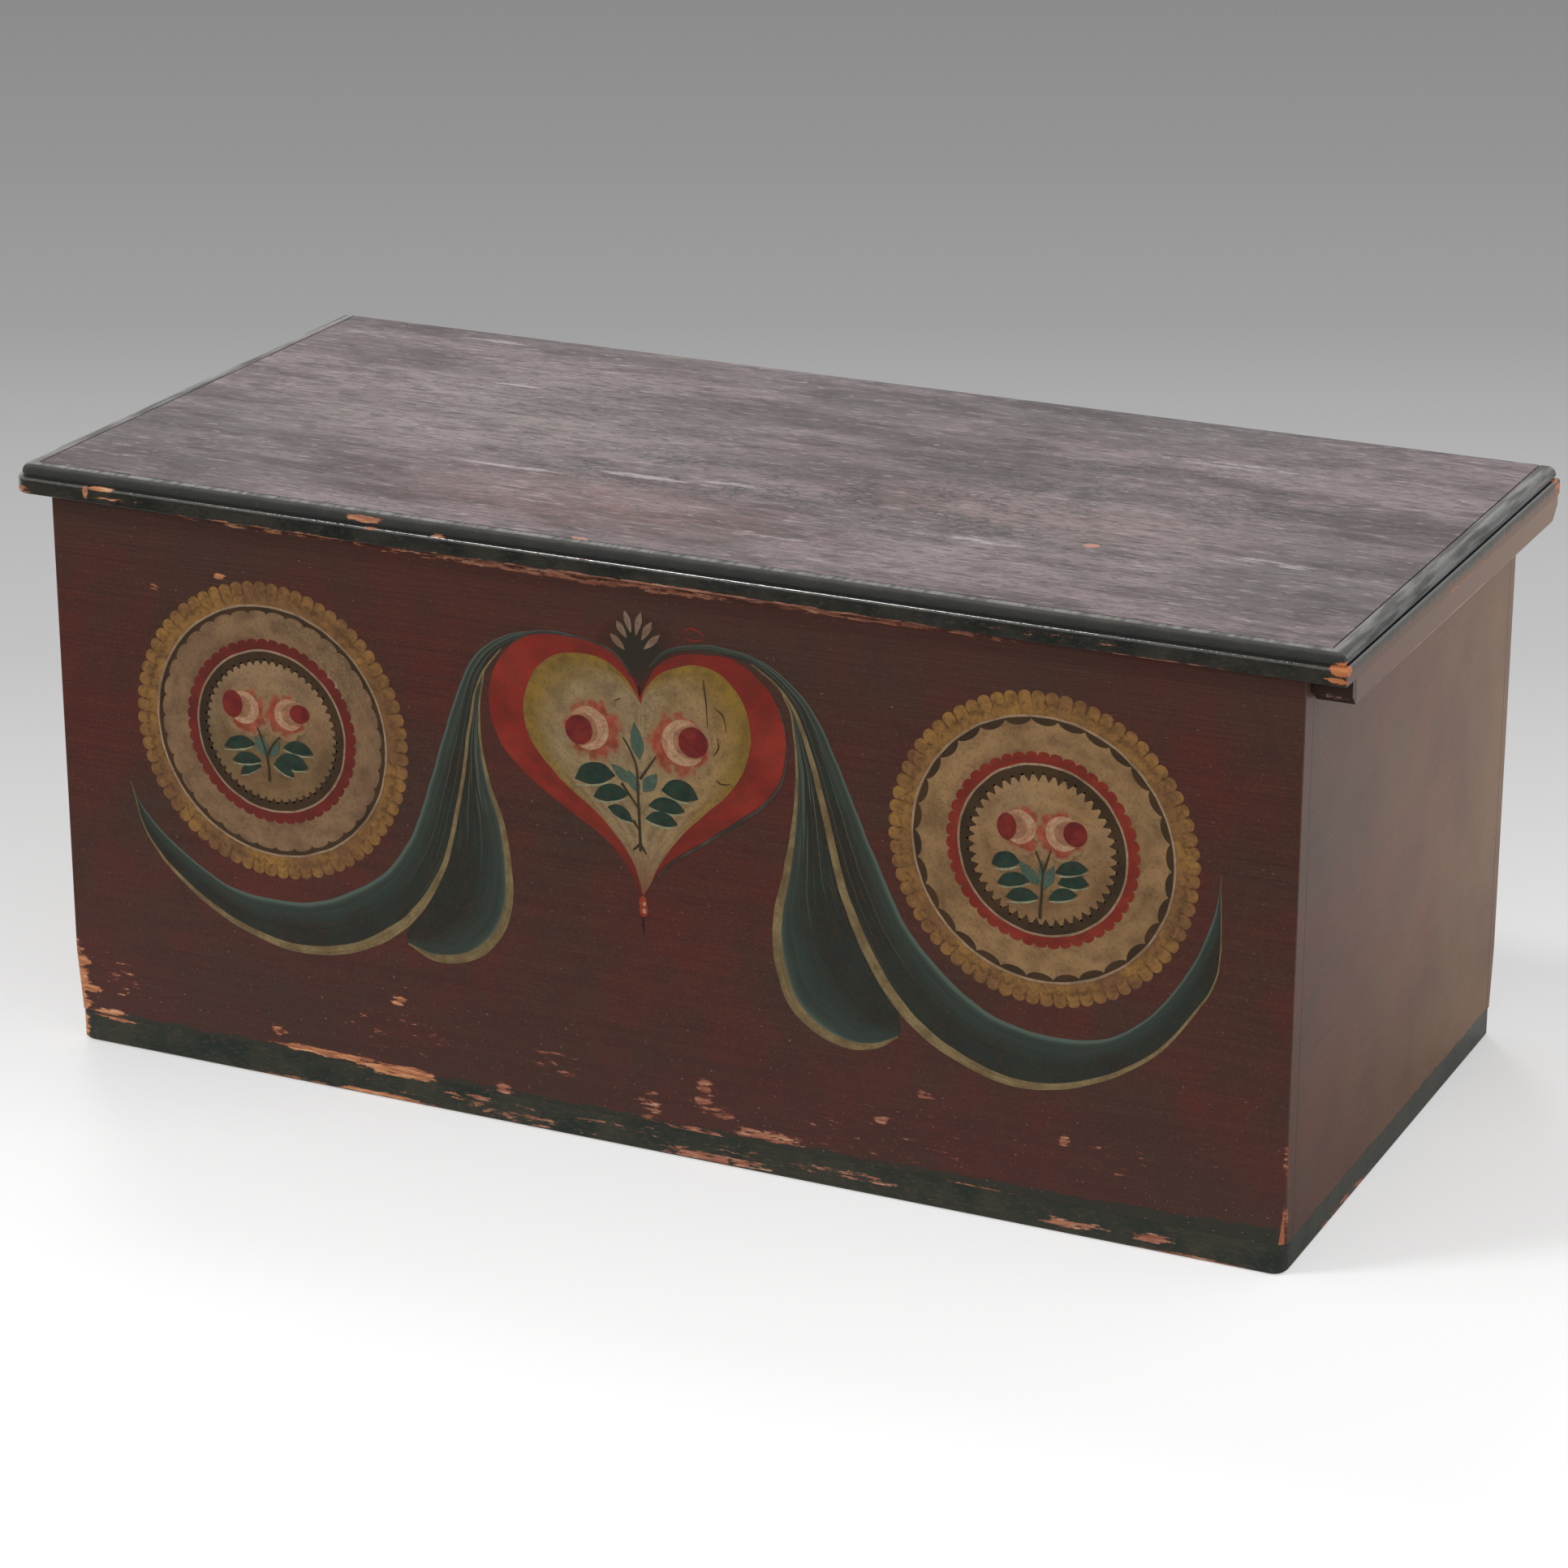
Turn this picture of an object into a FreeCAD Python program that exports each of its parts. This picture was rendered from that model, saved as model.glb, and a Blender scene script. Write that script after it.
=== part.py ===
import FreeCAD
import Part

import math
import os
import re

import Sketcher

# A painted pine blanket chest of the six-board kind, closed.
#
# The front and back boards are rabbeted at their ends and lap over the end boards, where wrought nails
# hold them. Two bottom boards are nailed on from below and show their edges all round the foot. The lid
# is one board with a moulded edge, mitred at the front corners, and a cleat under each end. It hangs on
# two wrought strap hinges, whose barrels stand just behind the back. An open till is housed inside, at
# the left end.
#
# Millimetres. X runs along the chest, with the left end at -X. The front faces -Y. Z is up, and the
# origin is on the floor, under the middle of the chest.

SIZES = [
    # case
    ("case_length", 1070, "case, end to end"),
    ("case_depth", 518, "case, front to back"),
    ("wall_height", 452, "height of the four upright boards"),
    ("bottom_thick", 25, "thickness of the bottom boards"),
    ("front_thick", 22, "thickness of the front board"),
    ("back_thick", 20, "thickness of the back board"),
    ("end_thick", 20, "thickness of the end boards"),
    ("front_lap", 17.5, "wood of the front board left over the end boards"),
    ("back_lap", 14.5, "wood of the back board left over the end boards"),
    ("corner_wear", 1.6, "wear on the upright corners"),
    ("foot_round", 12, "roundness of the foot's corners, seen from above"),
    ("foot_wear", 2.2, "wear along the lower edges of the foot"),
    ("chip_width", 7, "wear low on the upright corners, where it meets the rounded foot"),
    ("chip_height", 65, "height at which that wear runs out"),
    # lid
    ("lid_gap", 0.3, "gap between the closed lid and the case"),
    ("lid_thick", 23, "thickness of the lid board"),
    ("front_overhang", 7.7, "lid past the front of the case"),
    ("end_overhang", 33, "lid past each end of the case"),
    ("back_inset", 0.5, "lid short of the back of the case"),
    ("edge_width", 18, "width of the moulded edge"),
    ("quirk_width", 1.2, "sunk line where the edge meets the lid board"),
    ("quirk_depth", 1.4, "depth of that line"),
    ("bead_setback", 3.6, "nose of the upper bead behind the lower band"),
    ("bead_round", 7, "radius of the upper bead"),
    ("groove_width", 1.5, "groove between the bead and the band"),
    ("groove_depth", 1.2, "groove, measured in from the bead's nose"),
    ("band_height", 14, "height of the lower band"),
    ("band_round", 2.6, "radius of the band's upper edge"),
    ("band_wear", 1.8, "radius of the band's lower edge"),
    ("left_corner", 16, "roundness of the lid's left front corner, seen from above"),
    ("cleat_width", 30, "width of the cleats"),
    ("cleat_height", 20, "height of the cleats"),
    ("cleat_gap", 2, "gap between a cleat and the end of the case"),
    ("left_cleat_setback", 46, "front end of the left cleat behind the front of the case"),
    ("right_cleat_setback", 9, "front end of the right cleat behind the front of the case"),
    ("cleat_wear", 1.5, "wear on the outer lower edge of a cleat"),
    ("cleat_bevel", 8, "bevel under the front end of a cleat"),
    ("cleat_rear_bevel", 12, "bevel under its rear end"),
    # till
    ("till_width", 130, "till, measured along the chest"),
    ("till_depth", 105, "inside depth of the till"),
    ("till_drop", 6, "top of the till below the top of the case"),
    ("till_board", 10, "thickness of the till boards"),
    ("housing_depth", 5, "depth of the grooves that hold the till"),
    # hinges
    ("hinge_inset", 205, "middle of a hinge from the end of the case"),
    ("barrel_length", 40, "length of a hinge barrel"),
    ("barrel_radius", 3.7, "outer radius of a hinge barrel"),
    ("barrel_gap", 0.3, "gap between the barrel and the back board"),
    ("pin_radius", 2, "radius of a hinge pin"),
    ("pin_play", 0.06, "running clearance round the pin"),
    ("pin_head_radius", 3, "radius of the pin's peened heads"),
    ("pin_head", 1.4, "thickness of the pin's peened heads"),
    ("lid_knuckle", 15.2, "length of the strap's knuckle"),
    ("knuckle_gap", 0.4, "running gap beside and under a knuckle"),
    ("iron_thick", 3, "thickness of the hinge iron"),
    ("strap_length", 205, "strap, from the pin to its point"),
    ("strap_root", 32, "full-width root of the strap, from the pin"),
    ("strap_neck", 17, "width of the strap before its spear"),
    ("spear_length", 42, "length of the spear"),
    ("spear_width", 32, "width of the spear at its shoulders"),
    ("spear_shoulder", 25, "shoulders of the spear before its point"),
    ("spear_nose", 11, "width of the spear close to its point"),
    ("spear_point", 8, "where the nose is that wide, before the point"),
    ("leaf_height", 58, "leaf, from the pin to its lower edge"),
    ("leaf_width", 58, "width of the leaf at its lower edge"),
    ("leaf_waist", 19, "where the leaf starts to widen, below the pin"),
    ("leaf_corner", 8, "clipped lower corners of the leaf"),
    ("iron_wear", 0.7, "wear along the edges of the iron"),
    ("notch_play", 0.6, "gap on each side of a strap in its notch"),
    ("strap_gap", 0.3, "gap under a strap in its notch"),
    # nails
    ("wall_nail", 4.2, "thickness of the nails of the case"),
    ("wall_nail_length", 48, "length of the nails of the case"),
    ("wall_nail_head", 4.5, "half width of their heads"),
    ("wall_nail_count", 5, "nails up each corner"),
    ("wall_nail_margin", 36, "first and last nail from the ends of the row"),
    ("bottom_nail_count", 7, "nails along each side of the bottom"),
    ("edge_nail", 2.6, "thickness of the nails of the moulded edge"),
    ("edge_nail_length", 40, "length of the nails of the moulded edge"),
    ("edge_nail_head", 2.4, "half width of their heads"),
    ("front_edge_nail_count", 8, "nails along the front edge"),
    ("end_edge_nail_count", 5, "nails along each end edge"),
    ("edge_nail_margin", 44, "first and last nail from the ends of an edge"),
    ("cleat_nail", 3.2, "thickness of the nails of the cleats"),
    ("cleat_nail_length", 33, "length of the nails of the cleats"),
    ("cleat_nail_head", 3.5, "half width of their heads"),
    ("cleat_nail_inset", 6.5, "cleat nails from the cleat's inner side"),
    ("till_nail_length", 24, "length of the till's nails"),
    ("till_nail_count", 5, "nails through the till's front"),
    ("till_nail_margin", 70, "first and last till nail from the ends of its front"),
    ("rose_nail", 3.4, "thickness of the hinge nails"),
    ("rose_nail_length", 20, "length of the hinge nails"),
    ("rose_head", 4.6, "half width of their heads"),
    ("rose_head_thick", 1.8, "height of their heads"),
    ("rose_facet", 1.3, "facets hammered round a rose head"),
    ("sunk_head_thick", 1.5, "thickness of the sunk nail heads"),
    ("nail_taper", 1.1, "taper of a nail's faces, in degrees"),
    ("leaf_nail_spread", 15, "leaf nails from the middle of the leaf"),
    ("leaf_nail_first", 19, "upper leaf nails below the pin"),
    ("leaf_nail_pitch", 26, "lower leaf nails below the upper ones"),
    ("strap_nail_spread", 11, "paired strap nails from the middle of the strap"),
    ("strap_nail_pair", 44, "paired strap nails from the pin"),
    ("strap_nail_first", 84, "first single strap nail from the pin"),
    ("strap_nail_reach", 92, "first single strap nail to the last"),
    ("strap_nail_count", 3, "single nails along the strap"),
]
ALIASES = {alias for alias, value, meaning in SIZES}

LID_UNDER = "(bottom_thick + wall_height + lid_gap)"
LID_FRONT = "(0 - case_depth / 2 - front_overhang)"
LID_BACK = "(case_depth / 2 - back_inset)"
LID_END = "(case_length / 2 + end_overhang)"
BOARD_FRONT = "(0 - case_depth / 2 - front_overhang + edge_width)"
BOARD_END = "(case_length / 2 + end_overhang - edge_width)"
CLEAT_INNER = "(case_length / 2 + cleat_gap)"
PIN_BACK = "(case_depth / 2 + barrel_gap + barrel_radius)"
PIN_HEIGHT = "(bottom_thick + wall_height + lid_gap - iron_thick / 2)"
KNUCKLE_CLEAR = "(barrel_radius + knuckle_gap)"
LEAF_OUTER = "(0 - barrel_radius - barrel_gap + iron_thick)"
EDGE_NAIL_PITCH = f"(({LID_BACK} - {LID_FRONT} - 2 * edge_nail_margin) / (end_edge_nail_count - 1))"
TILL_INNER_END = "(0 - case_length / 2 + end_thick)"
TILL_FACE = "(0 - case_length / 2 + end_thick + till_width + till_board)"
TILL_BASE = "(wall_height - till_drop - till_depth - till_board)"
TILL_TOP = "(wall_height - till_drop)"

document = FreeCAD.newDocument("BlanketChest")
sheet = document.addObject("Spreadsheet::Sheet", "Sizes")
for row, (alias, value, meaning) in enumerate(SIZES, start=1):
    sheet.set(f"A{row}", meaning)
    sheet.set(f"B{row}", str(value))
    sheet.setAlias(f"B{row}", alias)
document.recompute()


# --- drawing helpers -------------------------------------------------------------------------------

def formula(text):
    """The text as an expression: each name of a size becomes its cell in the sheet."""
    return re.sub("[a-z_]+", lambda word: ("Sizes." if word[0] in ALIASES else "") + word[0], text)


def size(text):
    """The present value of such a text."""
    return float(sheet.evalExpression(formula(text)))


def bind(thing, name, text):
    """Ties one property of an object to the sheet."""
    thing.setExpression(name, formula(text))


def new_body(name, x="0", y="0", z="0", turn=None):
    """An empty body at a bound place, turned by a fixed rotation."""
    body = document.addObject("PartDesign::Body", name)
    body.AllowCompound = True
    if turn:
        body.Placement.Rotation = turn
    for axis, text in (("x", x), ("y", y), ("z", z)):
        bind(body, "Placement.Base." + axis, text)
    return body


def datum(body, role):
    """One of the body's own origin planes or axes, by its role."""
    return next(feature for feature in body.Origin.OriginFeatures if feature.Role == role)


def new_sketch(body, plane, name, offset):
    """A sketch on one of the body's origin planes, moved along that plane's normal."""
    sketch = body.newObject("Sketcher::SketchObject", name)
    sketch.AttachmentSupport = [(datum(body, plane), "")]
    sketch.MapMode = "FlatFace"
    bind(sketch, "AttachmentOffset.Base.z", offset)
    return sketch


def place_point(sketch, geometry, end, x, y):
    """Fixes one point of a sketch at bound distances from the sketch's origin."""
    for kind, text in (("DistanceX", x), ("DistanceY", y)):
        number = sketch.addConstraint(Sketcher.Constraint(kind, -1, 1, geometry, end, size(text)))
        bind(sketch, f"Constraints[{number}]", text)


def outline(body, plane, name, corners, offset="0"):
    """A closed sketch with straight sides; each corner is a pair of texts."""
    sketch = new_sketch(body, plane, name, offset)
    points = [FreeCAD.Vector(size(x), size(y), 0) for x, y in corners]
    for start, end in zip(points, points[1:] + points[:1]):
        sketch.addGeometry(Part.LineSegment(start, end), False)
    for side in range(len(points)):
        before = (side - 1) % len(points)
        sketch.addConstraint(Sketcher.Constraint("Coincident", before, 2, side, 1))
    for side, (x, y) in enumerate(corners):
        place_point(sketch, side, 1, x, y)
    return sketch


def rectangle(body, plane, name, x_low, x_high, y_low, y_high, offset="0"):
    """A rectangular sketch between four bound sides."""
    corners = [(x_low, y_low), (x_high, y_low), (x_high, y_high), (x_low, y_high)]
    return outline(body, plane, name, corners, offset)


def ring(body, plane, name, radius, offset="0"):
    """A circle round the sketch's origin."""
    sketch = new_sketch(body, plane, name, offset)
    circle = Part.Circle(FreeCAD.Vector(0, 0, 0), FreeCAD.Vector(0, 0, 1), size(radius))
    sketch.addGeometry(circle, False)
    sketch.addConstraint(Sketcher.Constraint("Coincident", 0, 3, -1, 1))
    number = sketch.addConstraint(Sketcher.Constraint("Radius", 0, size(radius)))
    bind(sketch, f"Constraints[{number}]", radius)
    return sketch


def pad(sketch, length, back=False, both=False):
    """Wood or iron along the sketch's normal, or against it, or to both sides."""
    body = sketch.getParentGeoFeatureGroup()
    feature = body.newObject("PartDesign::Pad", sketch.Name + "_pad")
    feature.Profile = sketch
    feature.Reversed = back
    feature.SideType = "Symmetric" if both else "One side"
    bind(feature, "Length", length)
    document.recompute()
    return feature


def pocket(sketch, depth, along=False, both=False):
    """A cut against the sketch's normal, or along it, or to both sides; it has to remove something."""
    body = sketch.getParentGeoFeatureGroup()
    before = body.Shape.Volume
    feature = body.newObject("PartDesign::Pocket", sketch.Name + "_cut")
    feature.Profile = sketch
    feature.Reversed = along
    feature.SideType = "Symmetric" if both else "One side"
    bind(feature, "Length", depth)
    document.recompute()
    if not body.Shape.Volume < before:
        raise RuntimeError(f"{feature.Name} removes nothing")
    return feature


def edges_at(feature, points):
    """The names of a feature's edges that pass through the given points."""
    names = []
    for x, y, z in points:
        point = Part.Vertex(size(x), size(y), size(z))
        distances = [edge.distToShape(point)[0] for edge in feature.Shape.Edges]
        nearest = distances.index(min(distances))
        names.append(f"Edge{nearest + 1}")
    return names


def soften(kind, feature, name, amount, points):
    """A fillet or a chamfer on the edges through the given points."""
    body = feature.getParentGeoFeatureGroup()
    softened = body.newObject("PartDesign::" + kind, name)
    softened.Base = (feature, edges_at(feature, points))
    bind(softened, "Radius" if kind == "Fillet" else "Size", amount)
    document.recompute()
    return softened


def row_of(body, name, features, axis, reach, count):
    """Copies of some features in an even row along one of the body's axes."""
    pattern = body.newObject("PartDesign::LinearPattern", name)
    pattern.Originals = features
    pattern.Direction = (datum(body, axis), [""])
    bind(pattern, "Length", reach)
    bind(pattern, "Occurrences", count)
    body.Tip = pattern
    document.recompute()
    return pattern


def mirrored(body, name, plane):
    """The whole body, doubled by a mirror in one of its origin planes."""
    mirror = body.newObject("PartDesign::Mirrored", name)
    mirror.TransformMode = "Whole shape"
    mirror.MirrorPlane = (datum(body, plane), [""])
    body.Tip = mirror
    document.recompute()
    return mirror


def shank(body, name, x, y, gauge, length):
    """The tapered square spike of a wrought nail, driven along the body's +Z from its XY plane."""
    spike = body.newObject("PartDesign::AdditiveWedge", name + "_shank")
    # A wedge narrows along its own Y, so it is turned until that points along the body's Z.
    spike.AttachmentSupport = [(datum(body, "XY_Plane"), "")]
    spike.MapMode = "FlatFace"
    spike.AttachmentOffset.Rotation = FreeCAD.Rotation(FreeCAD.Vector(1, 0, 0), 90)
    tip = f"({gauge} / 2 - ({length}) * tan(nail_taper * 1 deg))"
    for level, half in (("", f"{gauge} / 2"), ("2", tip)):
        for limit, way in (("min", "-"), ("max", "+")):
            bind(spike, f"X{level}{limit}", f"{x} {way} {half}")
            bind(spike, f"Z{level}{limit}", f"0 - ({y}) {way} {half}")
    bind(spike, "Ymin", "0")
    bind(spike, "Ymax", length)
    document.recompute()
    return spike


def sunk_nail(body, name, x, y, gauge, length, head):
    """A nail whose square head is driven flush with the XY plane and painted over."""
    spike = shank(body, name, x, y, gauge, length)
    sides = (f"{x} - {head}", f"{x} + {head}", f"{y} - {head}", f"{y} + {head}")
    return [spike, pad(rectangle(body, "XY_Plane", name + "_head", *sides), "sunk_head_thick")]


def rose_nail(body, name, x, y):
    """A nail whose eight-sided head stands proud of the XY plane, with facets hammered round it."""
    spike = shank(body, name, x, y, "rose_nail", "rose_nail_length")
    wide, flat = "rose_head", f"rose_head * {OCTAGON_FLAT}"
    around = [(wide, flat), (flat, wide), (f"0 - {flat}", wide), (f"0 - {wide}", flat),
              (f"0 - {wide}", f"0 - {flat}"), (f"0 - {flat}", f"0 - {wide}"), (flat, f"0 - {wide}"),
              (wide, f"0 - {flat}")]
    corners = [(f"{x} + {across}", f"{y} + {along}") for across, along in around]
    head = pad(outline(body, "XY_Plane", name + "_head", corners), "rose_head_thick", back=True)
    rim = []
    for (x_one, y_one), (x_two, y_two) in zip(corners, corners[1:] + corners[:1]):
        rim.append((f"({x_one} + {x_two}) / 2", f"({y_one} + {y_two}) / 2", "0 - rose_head_thick"))
    return [spike, head, soften("Chamfer", head, name + "_facets", "rose_facet", rim)]


def sub_part(thing, label):
    """Marks an object as a finished sub-part, under the name of its node."""
    thing.Label = label
    sub_parts.append(thing)
    return thing


def cut_by(label, blank, *groups):
    """The blank with the seats of its nails, cut by the nails themselves."""
    cutter = groups[0]
    if len(groups) > 1:
        cutter = document.addObject("Part::Compound", label + "_nails")
        cutter.Links = list(groups)
    pierced = document.addObject("Part::Cut", label + "_pierced")
    pierced.Base = blank
    pierced.Tool = cutter
    return sub_part(pierced, label)


sub_parts = []
# Half of one side of an octagon that is 2 wide across its flats.
OCTAGON_FLAT = 0.4142
TURNS = {
    "into the front": FreeCAD.Rotation(FreeCAD.Vector(1, 0, 0), -90),
    "into the back": FreeCAD.Rotation(FreeCAD.Vector(1, 0, 0), 90),
    "into the right end": FreeCAD.Rotation(FreeCAD.Vector(0, 1, 0), -90),
    "into the left end": FreeCAD.Rotation(FreeCAD.Vector(0, 1, 0), 90),
}


# --- nails of the case -----------------------------------------------------------------------------

def corner_nails(label, wall_face, turn, across):
    """Nails through the lapped end of the front or back board into the edges of both end boards."""
    lowest = f"{across} * (bottom_thick + wall_nail_margin)"
    body = new_body(label, y=wall_face, turn=TURNS[turn])
    one = sunk_nail(body, "lowest", "case_length / 2 - end_thick / 2", lowest, "wall_nail",
                    "wall_nail_length", "wall_nail_head")
    up = row_of(body, "up_the_corner", one, "Y_Axis", "wall_height - 2 * wall_nail_margin",
                "wall_nail_count")
    up.Reversed = across < 0
    mirrored(body, "both_corners", "YZ_Plane")
    return sub_part(body, label)


front_corner_nails = corner_nails("front_corner_nails", "0 - case_depth / 2", "into the front", -1)
back_corner_nails = corner_nails("back_corner_nails", "case_depth / 2", "into the back", 1)

# The bottom boards are nailed up into the front and back boards and into both end boards.
bottom_nails = new_body("bottom_nails")
bottom_sizes = ("wall_nail", "wall_nail_length + bottom_thick / 2", "wall_nail_head")
along_first = sunk_nail(bottom_nails, "first_along", "0 - case_length / 2 + 2 * wall_nail_margin",
                        "case_depth / 2 - back_thick / 2", *bottom_sizes)
row_of(bottom_nails, "along_the_back", along_first, "X_Axis", "case_length - 4 * wall_nail_margin",
       "bottom_nail_count")
sunk_nail(bottom_nails, "first_across", "case_length / 2 - end_thick / 2", "case_depth / 4", *bottom_sizes)
mirrored(bottom_nails, "both_long_sides", "XZ_Plane")
mirrored(bottom_nails, "both_ends", "YZ_Plane")
sub_part(bottom_nails, "bottom_nails")


# --- case ------------------------------------------------------------------------------------------

def wear_foot_corners(body, name, face, outer):
    """Takes a long facet off the foot of both outer corners, widest at the bottom and running out
    upwards. `outer` is the side of the board's outer face, -1 or 1."""
    # The cutting wedge reaches this far past the wood.
    past = "1"
    out, into = ("-", "+") if outer < 0 else ("+", "-")
    for side, way, back in (("left", "0 - ", "+"), ("right", "", "-")):
        end = f"{way}case_length / 2"
        beyond = "-" if side == "left" else "+"
        levels = []
        for level, width, height in (("foot", "chip_width", "0"), ("top", "0", "chip_height")):
            triangle = [(f"{end} {back} ({width} + {past})", f"{face} {out} {past}"),
                        (f"{end} {beyond} {past}", f"{face} {into} ({width} + {past})"),
                        (f"{end} {beyond} {past}", f"{face} {out} {past}")]
            levels.append(outline(body, "XY_Plane", f"{name}_{side}_{level}", triangle, offset=height))
        before = body.Shape.Volume
        facet = body.newObject("PartDesign::SubtractiveLoft", f"{name}_{side}_facet")
        facet.Profile = levels[0]
        facet.Sections = [levels[1]]
        facet.Ruled = True
        document.recompute()
        if not body.Shape.Volume < before:
            raise RuntimeError(f"{facet.Name} removes nothing")


def lapped_board(name, y, outer, lap, thick, into):
    """A long upright board, rabbeted at both ends. `outer` is the side of its outer face, -1 or 1."""
    half = "case_length / 2"
    shoulder = "case_length / 2 - end_thick"
    face, inner, rabbet = ("0", thick, lap) if outer < 0 else (thick, "0", f"{thick} - {lap}")
    plan = [(f"0 - {half}", face), (half, face), (half, rabbet), (shoulder, rabbet),
            (shoulder, inner), (f"0 - ({shoulder})", inner), (f"0 - ({shoulder})", rabbet),
            (f"0 - {half}", rabbet)]
    body = new_body(name, y=y, z="bottom_thick")
    board = pad(outline(body, "XY_Plane", name + "_plan", plan), "wall_height")
    middle = "wall_height / 2"
    corners = [(half, face, middle), (f"0 - {half}", face, middle)]
    soften("Fillet", board, name + "_worn_corners", "corner_wear", corners)
    wear_foot_corners(body, name, face, outer)
    seat = [(TILL_INNER_END, TILL_BASE), (TILL_FACE, TILL_BASE), (TILL_FACE, "wall_height"),
            (f"{TILL_FACE} - till_board", "wall_height"),
            (f"{TILL_FACE} - till_board", f"{TILL_BASE} + till_board"),
            (TILL_INNER_END, f"{TILL_BASE} + till_board")]
    # The normal of the XZ plane points to -Y, so the plane is moved by the opposite of the face's y.
    housing = outline(body, "XZ_Plane", name + "_till_housing", seat, offset=f"0 - {inner}")
    pocket(housing, "housing_depth", along=into)
    return body


front_blank = lapped_board("front_board_blank", "0 - case_depth / 2", -1, "front_lap", "front_thick",
                           True)
back_blank = lapped_board("back_board_blank", "case_depth / 2 - back_thick", 1, "back_lap",
                          "back_thick", False)

# The straps of the hinges pass over the back board in two shallow notches.
for side, way in (("left", "0 - "), ("right", "")):
    middle = f"{way}(case_length / 2 - hinge_inset)"
    half_notch = "barrel_length / 2 + notch_play"
    floor = f"{PIN_HEIGHT} - bottom_thick - iron_thick / 2 - strap_gap"
    notch = rectangle(back_blank, "XZ_Plane", side + "_notch", f"{middle} - ({half_notch})",
                      f"{middle} + {half_notch}", floor, "wall_height", offset="0 - back_thick / 2")
    pocket(notch, "back_thick", both=True)


def end_board_blank(side, x):
    """An upright end board, which stands in the rabbets of the front and back boards."""
    body = new_body(side + "_end_board_blank", x=x, z="bottom_thick")
    plan = rectangle(body, "XY_Plane", side + "_end_plan", "0", "end_thick",
                     "0 - case_depth / 2 + front_lap", "case_depth / 2 - back_lap")
    pad(plan, "wall_height")
    return body


left_end_blank = end_board_blank("left", "0 - case_length / 2")
right_end_blank = end_board_blank("right", "case_length / 2 - end_thick")


def bottom_board_blank(name, side):
    """One of two bottom boards that meet under the middle; its outer corners and edges are worn."""
    body = new_body(name)
    low, high = ("0 - case_depth / 2", "0") if side < 0 else ("0", "case_depth / 2")
    outer = low if side < 0 else high
    half = "case_length / 2"
    plan = rectangle(body, "XY_Plane", name + "_plan", f"0 - {half}", half, low, high)
    board = pad(plan, "bottom_thick")
    middle = "bottom_thick / 2"
    upright = [(half, outer, middle), (f"0 - {half}", outer, middle)]
    rounded = soften("Fillet", board, name + "_round_corners", "foot_round", upright)
    soften("Chamfer", rounded, name + "_worn_foot", "foot_wear", [("0", outer, "0")])
    return body


front_bottom_blank = bottom_board_blank("front_bottom_board_blank", -1)
rear_bottom_blank = bottom_board_blank("rear_bottom_board_blank", 1)


# --- till ------------------------------------------------------------------------------------------

TILL_NEAR = "0 - case_depth / 2 + front_thick - housing_depth"
TILL_FAR = "case_depth / 2 - back_thick + housing_depth"

till_front_blank = new_body("till_front_blank", x=TILL_FACE, z="bottom_thick")
pad(rectangle(till_front_blank, "YZ_Plane", "till_front_side", TILL_NEAR, TILL_FAR, TILL_BASE, TILL_TOP),
    "till_board", back=True)

till_bottom_blank = new_body("till_bottom_blank", z=f"bottom_thick + {TILL_BASE}")
pad(rectangle(till_bottom_blank, "XY_Plane", "till_bottom_plan", TILL_INNER_END,
              f"{TILL_FACE} - till_board", TILL_NEAR, TILL_FAR), "till_board")

till_nails = new_body("till_nails", x=TILL_FACE, z=f"bottom_thick + {TILL_BASE} + till_board / 2",
                      turn=TURNS["into the right end"])
first_till_nail = sunk_nail(till_nails, "nearest", "0", f"{TILL_NEAR} + till_nail_margin", "edge_nail",
                            "till_nail_length", "edge_nail_head")
row_of(till_nails, "along_the_till", first_till_nail, "Y_Axis",
       f"{TILL_FAR} - ({TILL_NEAR}) - 2 * till_nail_margin", "till_nail_count")
sub_part(till_nails, "till_nails")


# --- hinges ----------------------------------------------------------------------------------------

def hinge_leaf(side, x):
    """The leaf on the back of the case, with the two outer knuckles rolled from its upper edge."""
    body = new_body(side + "_hinge_leaf_blank", x=x, y=PIN_BACK, z=PIN_HEIGHT)
    half = "barrel_length / 2"
    tongue = "lid_knuckle / 2 + knuckle_gap"
    edge = [("leaf_width / 2 - leaf_corner", "0 - leaf_height"),
            ("leaf_width / 2", "0 - leaf_height + leaf_corner"),
            (half, "0 - leaf_waist"), (half, "0"), (tongue, "0"),
            (tongue, f"0 - {KNUCKLE_CLEAR}")]
    outline_corners = edge + [(f"0 - ({across})", down) for across, down in reversed(edge)]
    # The plate lies between the back board and the barrel's axis, and the XZ plane's normal is -Y.
    plate = outline(body, "XZ_Plane", side + "_leaf_outline", outline_corners,
                    offset=f"0 - {LEAF_OUTER}")
    flat = pad(plate, "iron_thick")
    rim = [("0", LEAF_OUTER, "0 - leaf_height")]
    for (x_one, z_one), (x_two, z_two) in zip(edge[:2], edge[1:3]):
        middle_x = f"(({x_one}) + ({x_two})) / 2"
        middle_z = f"(({z_one}) + ({z_two})) / 2"
        rim += [(middle_x, LEAF_OUTER, middle_z), (f"0 - {middle_x}", LEAF_OUTER, middle_z)]
    soften("Chamfer", flat, side + "_leaf_worn_edge", "iron_wear", rim)
    for name, start, back in (("right", tongue, False), ("left", f"0 - ({tongue})", True)):
        roll = ring(body, "YZ_Plane", f"{side}_{name}_knuckle", "barrel_radius", offset=start)
        pad(roll, f"{half} - ({tongue})", back=back)
    bore = ring(body, "YZ_Plane", side + "_leaf_bore", "pin_radius + pin_play")
    pocket(bore, "barrel_length", both=True)
    return body


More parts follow.
